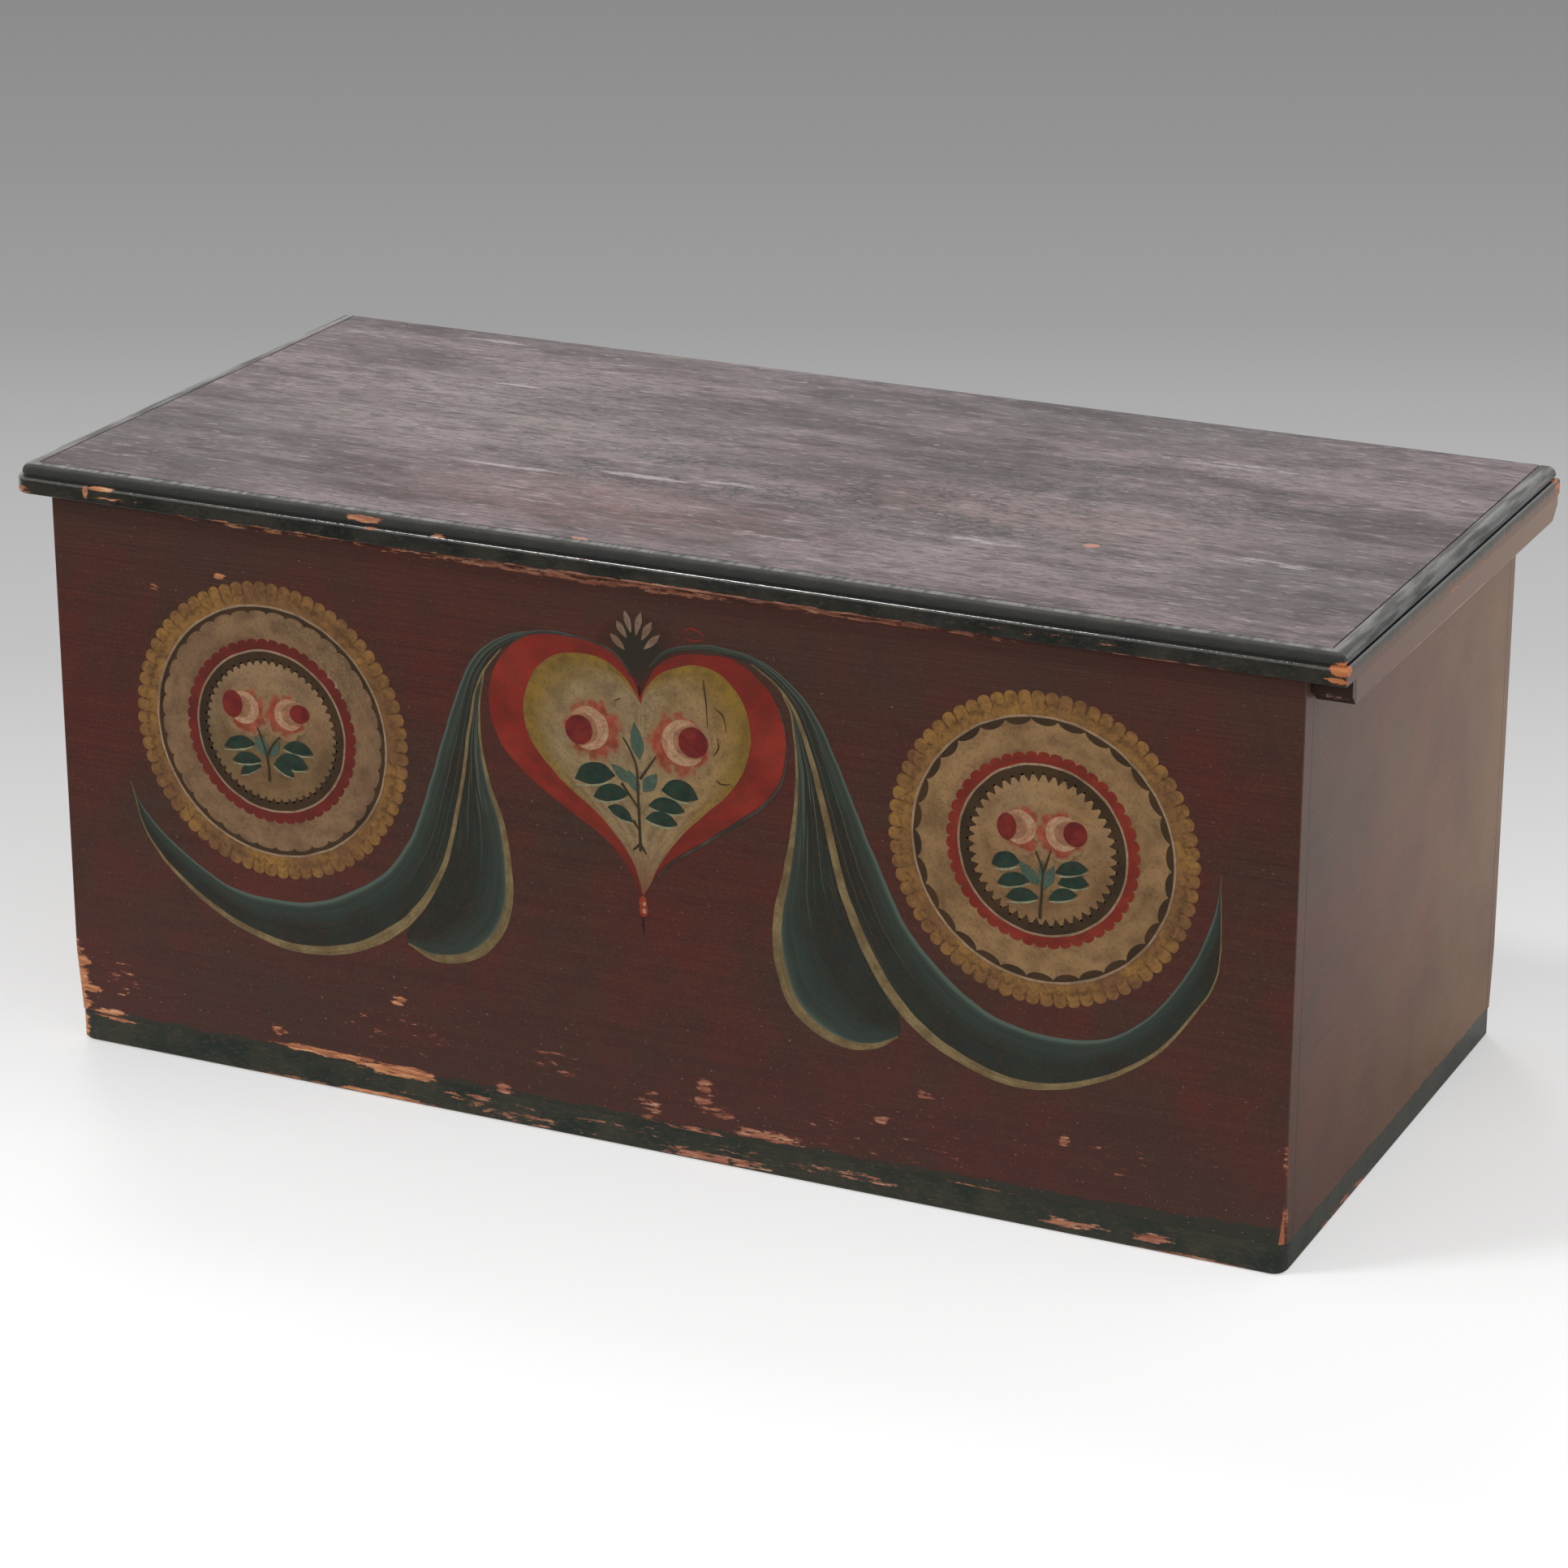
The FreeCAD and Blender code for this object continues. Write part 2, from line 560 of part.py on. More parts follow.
def hinge_strap(side, x):
    """The strap under the lid: one knuckle, a tapered band and a spear-shaped point."""
    body = new_body(side + "_hinge_strap_blank", x=x, y=PIN_BACK, z=PIN_HEIGHT)
    edge = [("lid_knuckle / 2", "0"), ("lid_knuckle / 2", f"0 - {KNUCKLE_CLEAR}"),
            ("barrel_length / 2", f"0 - {KNUCKLE_CLEAR}"), ("barrel_length / 2", "0 - strap_root"),
            ("strap_neck / 2", "spear_length - strap_length"),
            ("spear_width / 2", "spear_shoulder - strap_length"),
            ("spear_nose / 2", "spear_point - strap_length")]
    tip = ("0", "0 - strap_length")
    corners = edge + [tip] + [(f"0 - ({across})", along) for across, along in reversed(edge)]
    plan = outline(body, "XY_Plane", side + "_strap_outline", corners, offset="0 - iron_thick / 2")
    band = pad(plan, "iron_thick")
    lower = "0 - iron_thick / 2"
    worn = []
    for (x_one, y_one), (x_two, y_two) in zip(edge[3:], edge[4:] + [tip]):
        middle_x = f"(({x_one}) + ({x_two})) / 2"
        middle_y = f"(({y_one}) + ({y_two})) / 2"
        worn += [(middle_x, middle_y, lower), (f"0 - {middle_x}", middle_y, lower)]
    soften("Chamfer", band, side + "_strap_worn_edge", "iron_wear", worn)
    pad(ring(body, "YZ_Plane", side + "_lid_knuckle", "barrel_radius"), "lid_knuckle", both=True)
    bore = ring(body, "YZ_Plane", side + "_strap_bore", "pin_radius + pin_play")
    pocket(bore, "barrel_length", both=True)
    return body


def hinge_pin(side, x):
    """The pin, peened over at both ends of the barrel."""
    body = new_body(side + "_hinge_pin", x=x, y=PIN_BACK, z=PIN_HEIGHT)
    pad(ring(body, "YZ_Plane", side + "_pin_shank", "pin_radius"), "barrel_length", both=True)
    for name, way, back in (("right", "", False), ("left", "0 - ", True)):
        head = ring(body, "YZ_Plane", f"{side}_{name}_peen", "pin_head_radius",
                    offset=f"{way}barrel_length / 2")
        pad(head, "pin_head", back=back)
    return sub_part(body, side + "_hinge_pin")


def leaf_nails(side, x):
    """Four rose-headed nails through the leaf into the back board."""
    body = new_body(side + "_leaf_nails", x=x, y=f"{PIN_BACK} + {LEAF_OUTER}", z=PIN_HEIGHT,
                    turn=TURNS["into the back"])
    upper = rose_nail(body, "upper", "leaf_nail_spread", "0 - leaf_nail_first")
    down = row_of(body, "down_the_leaf", upper, "Y_Axis", "leaf_nail_pitch", "2")
    down.Reversed = True
    mirrored(body, "both_sides", "YZ_Plane")
    return sub_part(body, side + "_leaf_nails")


def strap_nails(side, x):
    """Rose-headed nails up through the strap into the lid: a pair at the root, then a single row."""
    body = new_body(side + "_strap_nails", x=x, y=PIN_BACK, z=f"{PIN_HEIGHT} - iron_thick / 2")
    rose_nail(body, "paired", "strap_nail_spread", "0 - strap_nail_pair")
    mirrored(body, "the_pair", "YZ_Plane")
    single = rose_nail(body, "single", "0", "0 - strap_nail_first")
    along = row_of(body, "along_the_strap", single, "Y_Axis", "strap_nail_reach", "strap_nail_count")
    along.Reversed = True
    return sub_part(body, side + "_strap_nails")


straps = []
leaves = []
leaf_nail_groups = []
strap_nail_groups = []
for side, way in (("left", "0 - "), ("right", "")):
    hinge_x = f"{way}(case_length / 2 - hinge_inset)"
    leaf_nail_groups.append(leaf_nails(side, hinge_x))
    strap_nail_groups.append(strap_nails(side, hinge_x))
    leaves.append(hinge_leaf(side, hinge_x))
    straps.append(hinge_strap(side, hinge_x))
    hinge_pin(side, hinge_x)
    cut_by(side + "_hinge_leaf", leaves[-1], leaf_nail_groups[-1])
    cut_by(side + "_hinge_strap", straps[-1], strap_nail_groups[-1])


# --- lid -------------------------------------------------------------------------------------------

lid_blank = new_body("lid_board_blank", z=LID_UNDER)
pad(rectangle(lid_blank, "XY_Plane", "lid_plan", f"0 - {BOARD_END}", BOARD_END, BOARD_FRONT, LID_BACK),
    "lid_thick")


def edge_profile(flip=""):
    """Section of the moulded edge, outwards and up from the lid board's lower edge: a flat lower band,
    a groove, a quarter-round bead and a sunk line beside the board."""
    nose = "(edge_width - bead_setback)"
    depth = f"({nose} - groove_depth)"
    groove_top = "band_height + groove_width"
    section = [("0", "0"), ("edge_width", "0"), ("edge_width", "band_height"), (depth, "band_height"),
               (depth, groove_top), (nose, groove_top), (nose, "lid_thick"),
               ("quirk_width", "lid_thick"), ("quirk_width", "lid_thick - quirk_depth"),
               ("0", "lid_thick - quirk_depth")]
    return [(flip + across, up) for across, up in section]


def round_left_corner(body, x, y):
    """Rounds the lid's left front corner, seen from above, round one centre: the lower band, the groove
    and the bead. The square corner of the band is at x, y in the body's frame."""
    # The cuts reach this far past the wood.
    past = "1"
    centre_x, centre_y = f"{x} + left_corner", f"{y} + left_corner"
    levels = (("band", "left_corner", "0", "band_height"),
              ("groove", "(left_corner - bead_setback - groove_depth)", "band_height", "groove_width"),
              ("bead", "(left_corner - bead_setback)", "band_height + groove_width", "lid_thick"))
    for level, radius, low, height in levels:
        path = [(f"{centre_x} - {radius}", centre_y), (f"{x} - {past}", centre_y),
                (f"{x} - {past}", f"{y} - {past}"), (centre_x, f"{y} - {past}"),
                (centre_x, f"{centre_y} - {radius}")]
        sketch = new_sketch(body, "XY_Plane", f"{body.Name}_{level}_corner", low)
        points = [FreeCAD.Vector(size(across), size(along), 0) for across, along in path]
        for start, end in zip(points, points[1:]):
            sketch.addGeometry(Part.LineSegment(start, end), False)
        centre = FreeCAD.Vector(size(centre_x), size(centre_y), 0)
        circle = Part.Circle(centre, FreeCAD.Vector(0, 0, 1), size(radius))
        sketch.addGeometry(Part.ArcOfCircle(circle, math.pi, 1.5 * math.pi), False)
        for joint in ((0, 2, 1, 1), (1, 2, 2, 1), (2, 2, 3, 1), (3, 2, 4, 2), (4, 1, 0, 1)):
            sketch.addConstraint(Sketcher.Constraint("Coincident", *joint))
        for side, (across, along) in enumerate(path[:4]):
            place_point(sketch, side, 1, across, along)
        place_point(sketch, 4, 3, centre_x, centre_y)
        number = sketch.addConstraint(Sketcher.Constraint("DistanceX", -1, 1, 3, 2, size(centre_x)))
        bind(sketch, f"Constraints[{number}]", centre_x)
        pocket(sketch, height, along=True)


def shape_edge(stick, name, points):
    """Rounds the bead and the two edges of the lower band; `points` gives an edge from its section."""
    nose = "(edge_width - bead_setback)"
    beaded = soften("Fillet", stick, name + "_bead", "bead_round", [points(nose, "lid_thick")])
    band = soften("Fillet", beaded, name + "_band_top", "band_round", [points("edge_width", "band_height")])
    return soften("Fillet", band, name + "_band_foot", "band_wear", [points("edge_width", "0")])


# The front strip runs the whole length of the lid and is mitred at both ends.
front_edge_blank = new_body("front_edge_blank", y=BOARD_FRONT, z=LID_UNDER)
pad(outline(front_edge_blank, "YZ_Plane", "front_edge_section", edge_profile("0 - ")),
    f"2 * {LID_END}", both=True)
round_left_corner(front_edge_blank, f"0 - {LID_END}", "0 - edge_width")
for name, way in (("left", "0 - "), ("right", "")):
    mitre = [(f"{way}{BOARD_END}", "0"), (f"{way}{LID_END}", "0 - edge_width"),
             (f"{way}({LID_END} + edge_width)", "0 - edge_width"), (f"{way}({LID_END} + edge_width)", "0")]
    front_stick = pocket(outline(front_edge_blank, "XY_Plane", f"front_{name}_mitre", mitre), "lid_thick",
                         along=True)
shape_edge(front_stick, "front", lambda out, up: ("0", f"0 - {out}", up))


def end_edge_blank(side, way):
    """The strip along one end of the lid, mitred at the front and cut square at the back."""
    body = new_body(side + "_edge_blank", x=f"{way}{BOARD_END}", y=LID_BACK, z=LID_UNDER)
    reach = f"({LID_BACK} - {LID_FRONT})"
    pad(outline(body, "XZ_Plane", side + "_edge_section", edge_profile(way)), reach)
    if side == "left":
        round_left_corner(body, "0 - edge_width", f"0 - {reach}")
    mitre = [("0", f"edge_width - {reach}"), (f"{way}edge_width", f"0 - {reach}"),
             (f"{way}edge_width", f"0 - {reach} - edge_width"), ("0", f"0 - {reach} - edge_width")]
    stick = pocket(outline(body, "XY_Plane", side + "_mitre", mitre), "lid_thick", along=True)
    shape_edge(stick, side, lambda out, up: (f"{way}{out}", f"0 - {reach} / 2", up))
    return body


def cleat_blank(side, way):
    """The cleat nailed up under one end of the lid, just outside the end of the case."""
    body = new_body(side + "_cleat_blank", x=f"{way}{CLEAT_INNER}", y=LID_BACK, z=LID_UNDER)
    reach = f"({LID_BACK} + case_depth / 2 - {side}_cleat_setback)"
    section = [("0", "0"), (f"{way}cleat_width", "0"), (f"{way}cleat_width", "0 - cleat_height"),
               ("0", "0 - cleat_height")]
    stick = pad(outline(body, "XZ_Plane", side + "_cleat_section", section), reach)
    under_front = [(f"{way}cleat_width / 2", f"0 - {reach}", "0 - cleat_height")]
    bevelled = soften("Chamfer", stick, side + "_cleat_bevel", "cleat_bevel", under_front)
    under_rear = [(f"{way}cleat_width / 2", "0", "0 - cleat_height")]
    bevelled = soften("Chamfer", bevelled, side + "_cleat_rear_bevel", "cleat_rear_bevel", under_rear)
    outer_foot = [(f"{way}cleat_width", f"0 - {reach} / 2", "0 - cleat_height")]
    soften("Fillet", bevelled, side + "_cleat_wear", "cleat_wear", outer_foot)
    return body


def cleat_nails(side, way):
    """Nails from under the cleat into the lid board, each midway between two nails of the edge."""
    body = new_body(side + "_cleat_nails", x=f"{way}{CLEAT_INNER}", z=f"{LID_UNDER} - cleat_height")
    one = sunk_nail(body, "rearmost", f"{way}cleat_nail_inset",
                    f"{LID_BACK} - edge_nail_margin - {EDGE_NAIL_PITCH} / 2",
                    "cleat_nail", "cleat_nail_length", "cleat_nail_head")
    row = row_of(body, "along_the_cleat", one, "Y_Axis",
                 f"{EDGE_NAIL_PITCH} * (end_edge_nail_count - 2)", "end_edge_nail_count - 1")
    row.Reversed = True
    return sub_part(body, side + "_cleat_nails")


EDGE_NAIL_SIZES = ("edge_nail", "edge_nail_length", "edge_nail_head")


def end_edge_nails(side, way, turn):
    """Nails through the moulded strip at one end into the lid board."""
    body = new_body(side + "_edge_nails", x=f"{way}{LID_END}", z=f"{LID_UNDER} + band_height / 2",
                    turn=TURNS[turn])
    one = sunk_nail(body, "rearmost", "0", f"{LID_BACK} - edge_nail_margin", *EDGE_NAIL_SIZES)
    row = row_of(body, "along_the_edge", one, "Y_Axis", f"{EDGE_NAIL_PITCH} * (end_edge_nail_count - 1)",
                 "end_edge_nail_count")
    row.Reversed = True
    return sub_part(body, side + "_edge_nails")


front_edge_nails = new_body("front_edge_nails", y=LID_FRONT, z=f"{LID_UNDER} + band_height / 2",
                            turn=TURNS["into the front"])
leftmost = sunk_nail(front_edge_nails, "leftmost", f"edge_nail_margin * 2 - {LID_END}", "0",
                     *EDGE_NAIL_SIZES)
row_of(front_edge_nails, "along_the_front", leftmost, "X_Axis", f"2 * {LID_END} - 4 * edge_nail_margin",
       "front_edge_nail_count")
sub_part(front_edge_nails, "front_edge_nails")

lid_nail_groups = [front_edge_nails] + strap_nail_groups
for side, way, turn in (("left", "0 - ", "into the left end"), ("right", "", "into the right end")):
    edge_group = end_edge_nails(side, way, turn)
    cleat_group = cleat_nails(side, way)
    cut_by(side + "_edge", end_edge_blank(side, way), edge_group)
    cut_by(side + "_cleat", cleat_blank(side, way), cleat_group)
    lid_nail_groups += [edge_group, cleat_group]
cut_by("front_edge", front_edge_blank, front_edge_nails)
cut_by("lid_board", lid_blank, *lid_nail_groups)


# --- boards of the case, with the seats of their nails ---------------------------------------------

cut_by("front_board", front_blank, front_corner_nails, bottom_nails)
cut_by("back_board", back_blank, back_corner_nails, bottom_nails, *leaf_nail_groups)
cut_by("left_end_board", left_end_blank, front_corner_nails, back_corner_nails, bottom_nails)
cut_by("right_end_board", right_end_blank, front_corner_nails, back_corner_nails, bottom_nails)
cut_by("front_bottom_board", front_bottom_blank, bottom_nails)
cut_by("rear_bottom_board", rear_bottom_blank, bottom_nails)
cut_by("till_front", till_front_blank, till_nails)
cut_by("till_bottom", till_bottom_blank, till_nails)
document.recompute()


# --- checks and files ------------------------------------------------------------------------------

for thing in document.Objects:
    if "Invalid" in thing.State or "Error" in thing.State:
        raise RuntimeError(f"{thing.Label} has failed: {thing.State}")
for thing in sub_parts:
    if thing.Shape.isNull() or not thing.Shape.isValid():
        raise RuntimeError(f"{thing.Label} has no valid shape")

os.makedirs("parts", exist_ok=True)
for thing in sub_parts:
    thing.Shape.exportStep(os.path.join("parts", thing.Label + ".step"))
print(len(sub_parts), "sub-parts,", sum(len(thing.Shape.Solids) for thing in sub_parts), "solids")
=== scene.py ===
import math

import bmesh
import bpy
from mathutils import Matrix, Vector, noise


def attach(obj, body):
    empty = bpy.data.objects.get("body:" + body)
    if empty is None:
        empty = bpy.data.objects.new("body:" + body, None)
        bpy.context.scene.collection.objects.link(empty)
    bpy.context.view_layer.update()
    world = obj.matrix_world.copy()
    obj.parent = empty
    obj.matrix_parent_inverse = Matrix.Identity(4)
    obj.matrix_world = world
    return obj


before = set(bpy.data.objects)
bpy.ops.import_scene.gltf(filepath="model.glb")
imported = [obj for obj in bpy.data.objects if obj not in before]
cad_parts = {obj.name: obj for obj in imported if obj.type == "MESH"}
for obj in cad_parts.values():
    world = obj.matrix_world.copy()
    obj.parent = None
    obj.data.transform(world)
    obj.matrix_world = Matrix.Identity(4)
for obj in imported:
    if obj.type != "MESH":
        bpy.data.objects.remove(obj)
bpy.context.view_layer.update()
scene = bpy.context.scene
scene.view_settings.view_transform = "Standard"


# === Camera ========================================================================================
# A long lens on a stand in front of the chest, turned 25 degrees to its right and looking 20 degrees
# down on it. The camera is level, and nothing is shifted.

camera = bpy.data.objects.new("camera", bpy.data.cameras.new("camera"))
camera.data.sensor_width = 36
camera.data.lens = 110.42
camera.location = (1.5859, -3.3768, 1.6112)
camera_turn = math.radians(25.19)
camera_rise = math.radians(20.38)
towards_camera = Vector((math.sin(camera_turn) * math.cos(camera_rise),
                         -math.cos(camera_turn) * math.cos(camera_rise), math.sin(camera_rise)))
camera.rotation_euler = (-towards_camera).to_track_quat("-Z", "Y").to_euler()
scene.collection.objects.link(camera)
scene.camera = camera


# === Floor and studio light ========================================================================
# A wide seamless sheet, white round the chest and falling off to grey far behind it. The room is
# bright low down and dark overhead, with two small lamps high on the left, in front and behind.


def linear(hex_colour):
    """An sRGB hex colour as linear red, green, blue and alpha."""
    channels = [int(hex_colour[start:start + 2], 16) / 255 for start in (1, 3, 5)]
    return [c / 12.92 if c <= 0.04045 else ((c + 0.055) / 1.055) ** 2.4 for c in channels] + [1.0]


def add(kind, *inputs, **settings):
    """Adds a node to the open tree; "Math SINE" is a Math node set to sine. Inputs are numbers,
    colours, nodes (for their first output) or sockets, in the node's own order. A setting is a property
    of the node, or one of its inputs by name."""
    kind, _, operation = kind.partition(" ")
    node = tree.nodes.new("ShaderNode" + kind)
    if operation:
        node.operation = operation
    wanted = list(enumerate(inputs))
    for key, value in settings.items():
        if hasattr(node, key):
            setattr(node, key, value)
        else:
            wanted.append((key.replace("_", " "), value))
    for key, value in wanted:
        if isinstance(value, str):
            value = linear(value)
        if isinstance(value, bpy.types.Node):
            value = value.outputs[0]
        if isinstance(value, bpy.types.NodeSocket):
            tree.links.new(value, node.inputs[key])
        else:
            node.inputs[key].default_value = value
    return node


def tinted(colour, other, by, low, high, most=1.0):
    """The colour, which gives way to the other as `by` goes from low to high, by `most` at the end."""
    return add("MixRGB", add("MapRange", by, low, high, 0.0, most), colour, other)


def new_material(name):
    """Opens the tree of an empty material. Gives the material, and the place of each point of it."""
    global tree
    material = bpy.data.materials.new(name)
    material.use_nodes = True
    tree = material.node_tree
    tree.nodes.clear()
    return material, add("TexCoord").outputs["Object"]


# Matt paper has no gloss, only the soft shadow of the chest.
paper, place = new_material("matt studio paper")
away = (-math.sin(camera_turn), math.cos(camera_turn), 0)
behind = add("VectorMath DOT_PRODUCT", place, away).outputs["Value"]
RAMP_START, RAMP_END = -0.7, 4.6
falloff = add("ValToRGB", add("MapRange", behind, RAMP_START, RAMP_END))
stops = falloff.color_ramp.elements
for index, (metres, grey) in enumerate(((-0.5, 0.614), (-0.21, 0.572), (-0.05, 0.515), (0.13, 0.465),
                                        (0.53, 0.387), (1.0, 0.309), (1.59, 0.262), (2.3, 0.195),
                                        (3.24, 0.166), (4.43, 0.1445))):
    stop = stops[index] if index < 2 else stops.new(1)
    stop.position = (metres - RAMP_START) / (RAMP_END - RAMP_START)
    stop.color = (grey, grey, grey, 1)
radius = add("VectorMath LENGTH", place).outputs["Value"]
seen = tinted(falloff, "#838383", radius, 5.0, 10.0)
# Other surfaces see a darker sheet in front of the chest, as with a grey card held there.
depth = add("SeparateXYZ", place).outputs["Y"]
lighting = tinted("#404040", "#e6e6e6", depth, -0.75, -0.1)
is_camera = add("LightPath").outputs["Is Camera Ray"]
sheet = add("BsdfDiffuse", add("MixRGB", is_camera, lighting, seen))
# Stray light on the sheet, which keeps the shadow soft and pale.
stray = add("MixRGB", add("Math MULTIPLY", is_camera, 0.8), (0, 0, 0, 1), seen)
add("OutputMaterial", add("AddShader", sheet, add("Emission", stray, 1.0)))

floor_mesh = bpy.data.meshes.new("floor")
disc = bmesh.new()
bmesh.ops.create_circle(disc, cap_ends=True, segments=96, radius=16)
# A hair below the chest, so that the two don't share a plane.
bmesh.ops.translate(disc, verts=disc.verts, vec=(0, 0, -0.0004))
disc.to_mesh(floor_mesh)
disc.free()
floor_mesh.materials.append(paper)
floor = bpy.data.objects.new("floor", floor_mesh)
scene.collection.objects.link(floor)

world = bpy.data.worlds.new("studio room")
world.use_nodes = True
tree = world.node_tree
tree.nodes.clear()
upward = add("SeparateXYZ", add("TexCoord").outputs["Generated"]).outputs["Z"]
walls = tinted((1.12, 1.12, 1.12, 1), (0.3, 0.3, 0.3, 1), upward, 0.5, 0.8)
room = add("MixRGB", add("LightPath").outputs["Is Camera Ray"], walls, "#838383")
add("OutputWorld", add("Background", room, 1.0))
scene.world = world

for name, source, strength, spread in (("lamp in front", (-0.42, -0.33, 0.85), 0.85, 9),
                                       ("lamp behind", (-0.4, 0.52, 0.75), 0.45, 14)):
    lamp = bpy.data.objects.new(name, bpy.data.lights.new(name, "SUN"))
    lamp.data.energy = strength
    lamp.data.angle = math.radians(spread)
    lamp.rotation_euler = Vector(source).to_track_quat("Z", "Y").to_euler()
    scene.collection.objects.link(lamp)


# === Boards of the case ============================================================================
# Pine boards with one coat of oxblood oil paint outside and bare inside. The corners are lapped and
# nailed, and the sunk heads are painted over. The foot carries a green band, which laps up a little.

METRE = 1000.0
# The outer faces of the boards, the joints behind the front board and before the back one, and how
# deep the paint is taken to reach.
END_FACE, FRONT_FACE, BACK_FACE = 0.535, -0.259, 0.259
FRONT_JOINT, BACK_JOINT = -0.2415, 0.2445
PAINT = 0.0015


def drawn_out(place, *lengths):
    """The place scaled so that a figure measures the given millimetres along X, Y and Z."""
    return add("VectorMath MULTIPLY", place, [METRE / length for length in lengths])


def pine_colour(place, draw):
    """Old bare pine: honey brown, with darker late-wood lines drawn out along the grain. `draw` gives
    the length of the figure along X, Y and Z in millimetres."""
    drawn = drawn_out(place, *draw)
    figure = add("TexNoise", drawn, Scale=1.0, Detail=2.0, Distortion=0.4)
    lines = add("Math SINE", add("Math MULTIPLY", figure, 60.0))
    late = add("MapRange", lines, 0.1, 1.0)
    wood = add("MixRGB", late, "#a9784a", "#8a5a34")
    fibre = add("TexNoise", drawn, Scale=9.0, Detail=4.0)
    return tinted(wood, "#6f4a2d", fibre, 0.35, 0.75, 0.6)


def knocked_wood(place, draw):
    """Pine laid bare by knocks: orange towards the left of the chest, and a dull salmon elsewhere."""
    wood = pine_colour(place, draw)
    side = add("MapRange", add("SeparateXYZ", place).outputs["X"], -0.19, -0.15)
    wood = add("MixRGB", 0.8, wood, add("MixRGB", side, "#da9266", "#b67862"))
    dirt = add("TexNoise", drawn_out(place, 18, 18, 2.4), Scale=1.0, Detail=4.0)
    wood = tinted(wood, "#854c39", dirt, 0.48, 0.60, 0.7)
    return tinted(wood, "#efc7a0", dirt, 0.43, 0.32, 0.5)


def oxblood_colour(place, draw):
    """Oxblood oil paint: a red-brown ground, stained browner in clouds, with brush marks along the
    board and a fine grain."""
    cloud = add("TexNoise", place, Scale=METRE / 120, Detail=4.0, Roughness=0.6)
    ground = tinted("#4c372c", "#612f28", cloud, 0.36, 0.62)
    stain = add("TexNoise", place, Scale=METRE / 26, Detail=3.0)
    ground = tinted(ground, "#45312a", stain, 0.48, 0.72, 0.5)
    brush = add("TexNoise", drawn_out(place, *draw), Scale=1.0, Detail=5.0, Roughness=0.6)
    marked = tinted(ground, "#462a24", brush, 0.40, 0.66, 0.5)
    grain = add("TexNoise", place, Scale=METRE / 2.2, Detail=2.0)
    return tinted(marked, "#6b4d44", grain, 0.5, 0.8, 0.4)


def rubbed(place, spots):
    """How hard each place has been rubbed. A spot is its middle and its half sizes in millimetres, and
    how hard it is rubbed in the middle, falling to 0 at its rim."""
    hardest = None
    for middle, reach, strength in spots:
        offset = add("VectorMath SUBTRACT", place, [m / METRE for m in middle])
        ratio = add("VectorMath MULTIPLY", offset, [METRE / r for r in reach])
        length = add("VectorMath LENGTH", ratio).outputs["Value"]
        here = add("MapRange", length, 1.0, 0.35, 0.0, strength)
        hardest = add("Math MAXIMUM", hardest, here) if hardest else here
    return hardest


def flaked(place, rub, fleck, sound):
    """Where the paint has flaked off: ragged flecks, which run together where the rub is hard. `fleck`
    is a fleck's size along X, Y and Z in millimetres. `sound` is how well the paint holds."""
    ragged = add("TexNoise", drawn_out(place, *fleck), Scale=1.0, Detail=6.0, Roughness=0.72)
    loss = add("Math MULTIPLY_ADD", rub, 0.5, ragged)
    return add("MapRange", loss, sound, sound + 0.04)


def within(value, low, high, blur):
    """1 where the value lies between low and high, falling to 0 over the blur outside them."""
    above = add("MapRange", value, low - blur, low)
    below = add("MapRange", value, high + blur, high)
    return add("Math MULTIPLY", above, below)


def finish(colour, roughness, relief=None, depth=0.0002, specular=0.3):
    """The closing shader; `relief` is a height from 0 to 1 that stands `depth` metres proud."""
    normal = {}
    if relief:
        normal["Normal"] = add("Bump", Height=relief, Distance=depth, Strength=1.0)
    shader = add("BsdfPrincipled", colour, Roughness=roughness, Specular_IOR_Level=specular, **normal)
    add("OutputMaterial", shader)


def on_front(*rubs):
    """Rubs on the front of the case: how far along and up, half the length and height, how hard, and
    half the depth where it isn't 5 mm."""
    return [((along, FRONT_FACE * METRE, up), (wide, (*deep, 5)[0], high), hard)
            for along, up, wide, high, hard, *deep in rubs]


FRONT_RUBS = on_front(
    # The left corner, and the tongues that run in from it.
    (-541, 54, 27, 58, 0.93, 22), (-530, 72, 15, 10, 0.8, 6), (-535, 32, 22, 11, 0.86, 14),
    (-508, 29, 34, 5.5, 0.78), (-520, 47, 20, 7, 0.7), (-490, 60, 40, 34, 0.46),
    # The long streak on the seam of the foot, and scuffs up to the right corner.
    (-295, 30.5, 84, 5.5, 0.84), (-225, 27.5, 60, 7.5, 0.94), (-339, 42, 15, 8, 0.72),
    (-130, 30, 14, 10, 0.74), (-146, 20, 46, 10, 0.68), (-70, 22, 100, 6, 0.66), (50, 60, 15, 28, 0.7),
    (66, 45, 22, 12, 0.68), (1, 40, 18, 24, 0.64), (40, 25, 56, 7, 0.68), (104, 33, 56, 10, 0.7),
    (205, 50, 190, 56, 0.36), (290, 23, 80, 7, 0.7), (420, 14, 60, 8, 0.66),
    (538, 42, 12, 34, 0.76, 14), (536, 92, 10, 34, 0.56, 6), (-215, 66, 130, 46, 0.37),
    # Small chips higher up, and the wood along the lid.
    (-226, 90, 13, 9, 0.7), (-80, 62, 48, 34, 0.44), (203, 66, 12, 7, 0.68), (356, 78, 10, 10, 0.64),
    (238, 94, 15, 7, 0.64), (400, 70, 60, 40, 0.36), (-379, 429, 9, 5, 0.66), (-441, 412, 8, 5, 0.66),
    (-60, 473, 300, 7, 0.7, 6), (180, 474, 250, 5, 0.66, 6), (-330, 474, 180, 5, 0.55, 6),
)
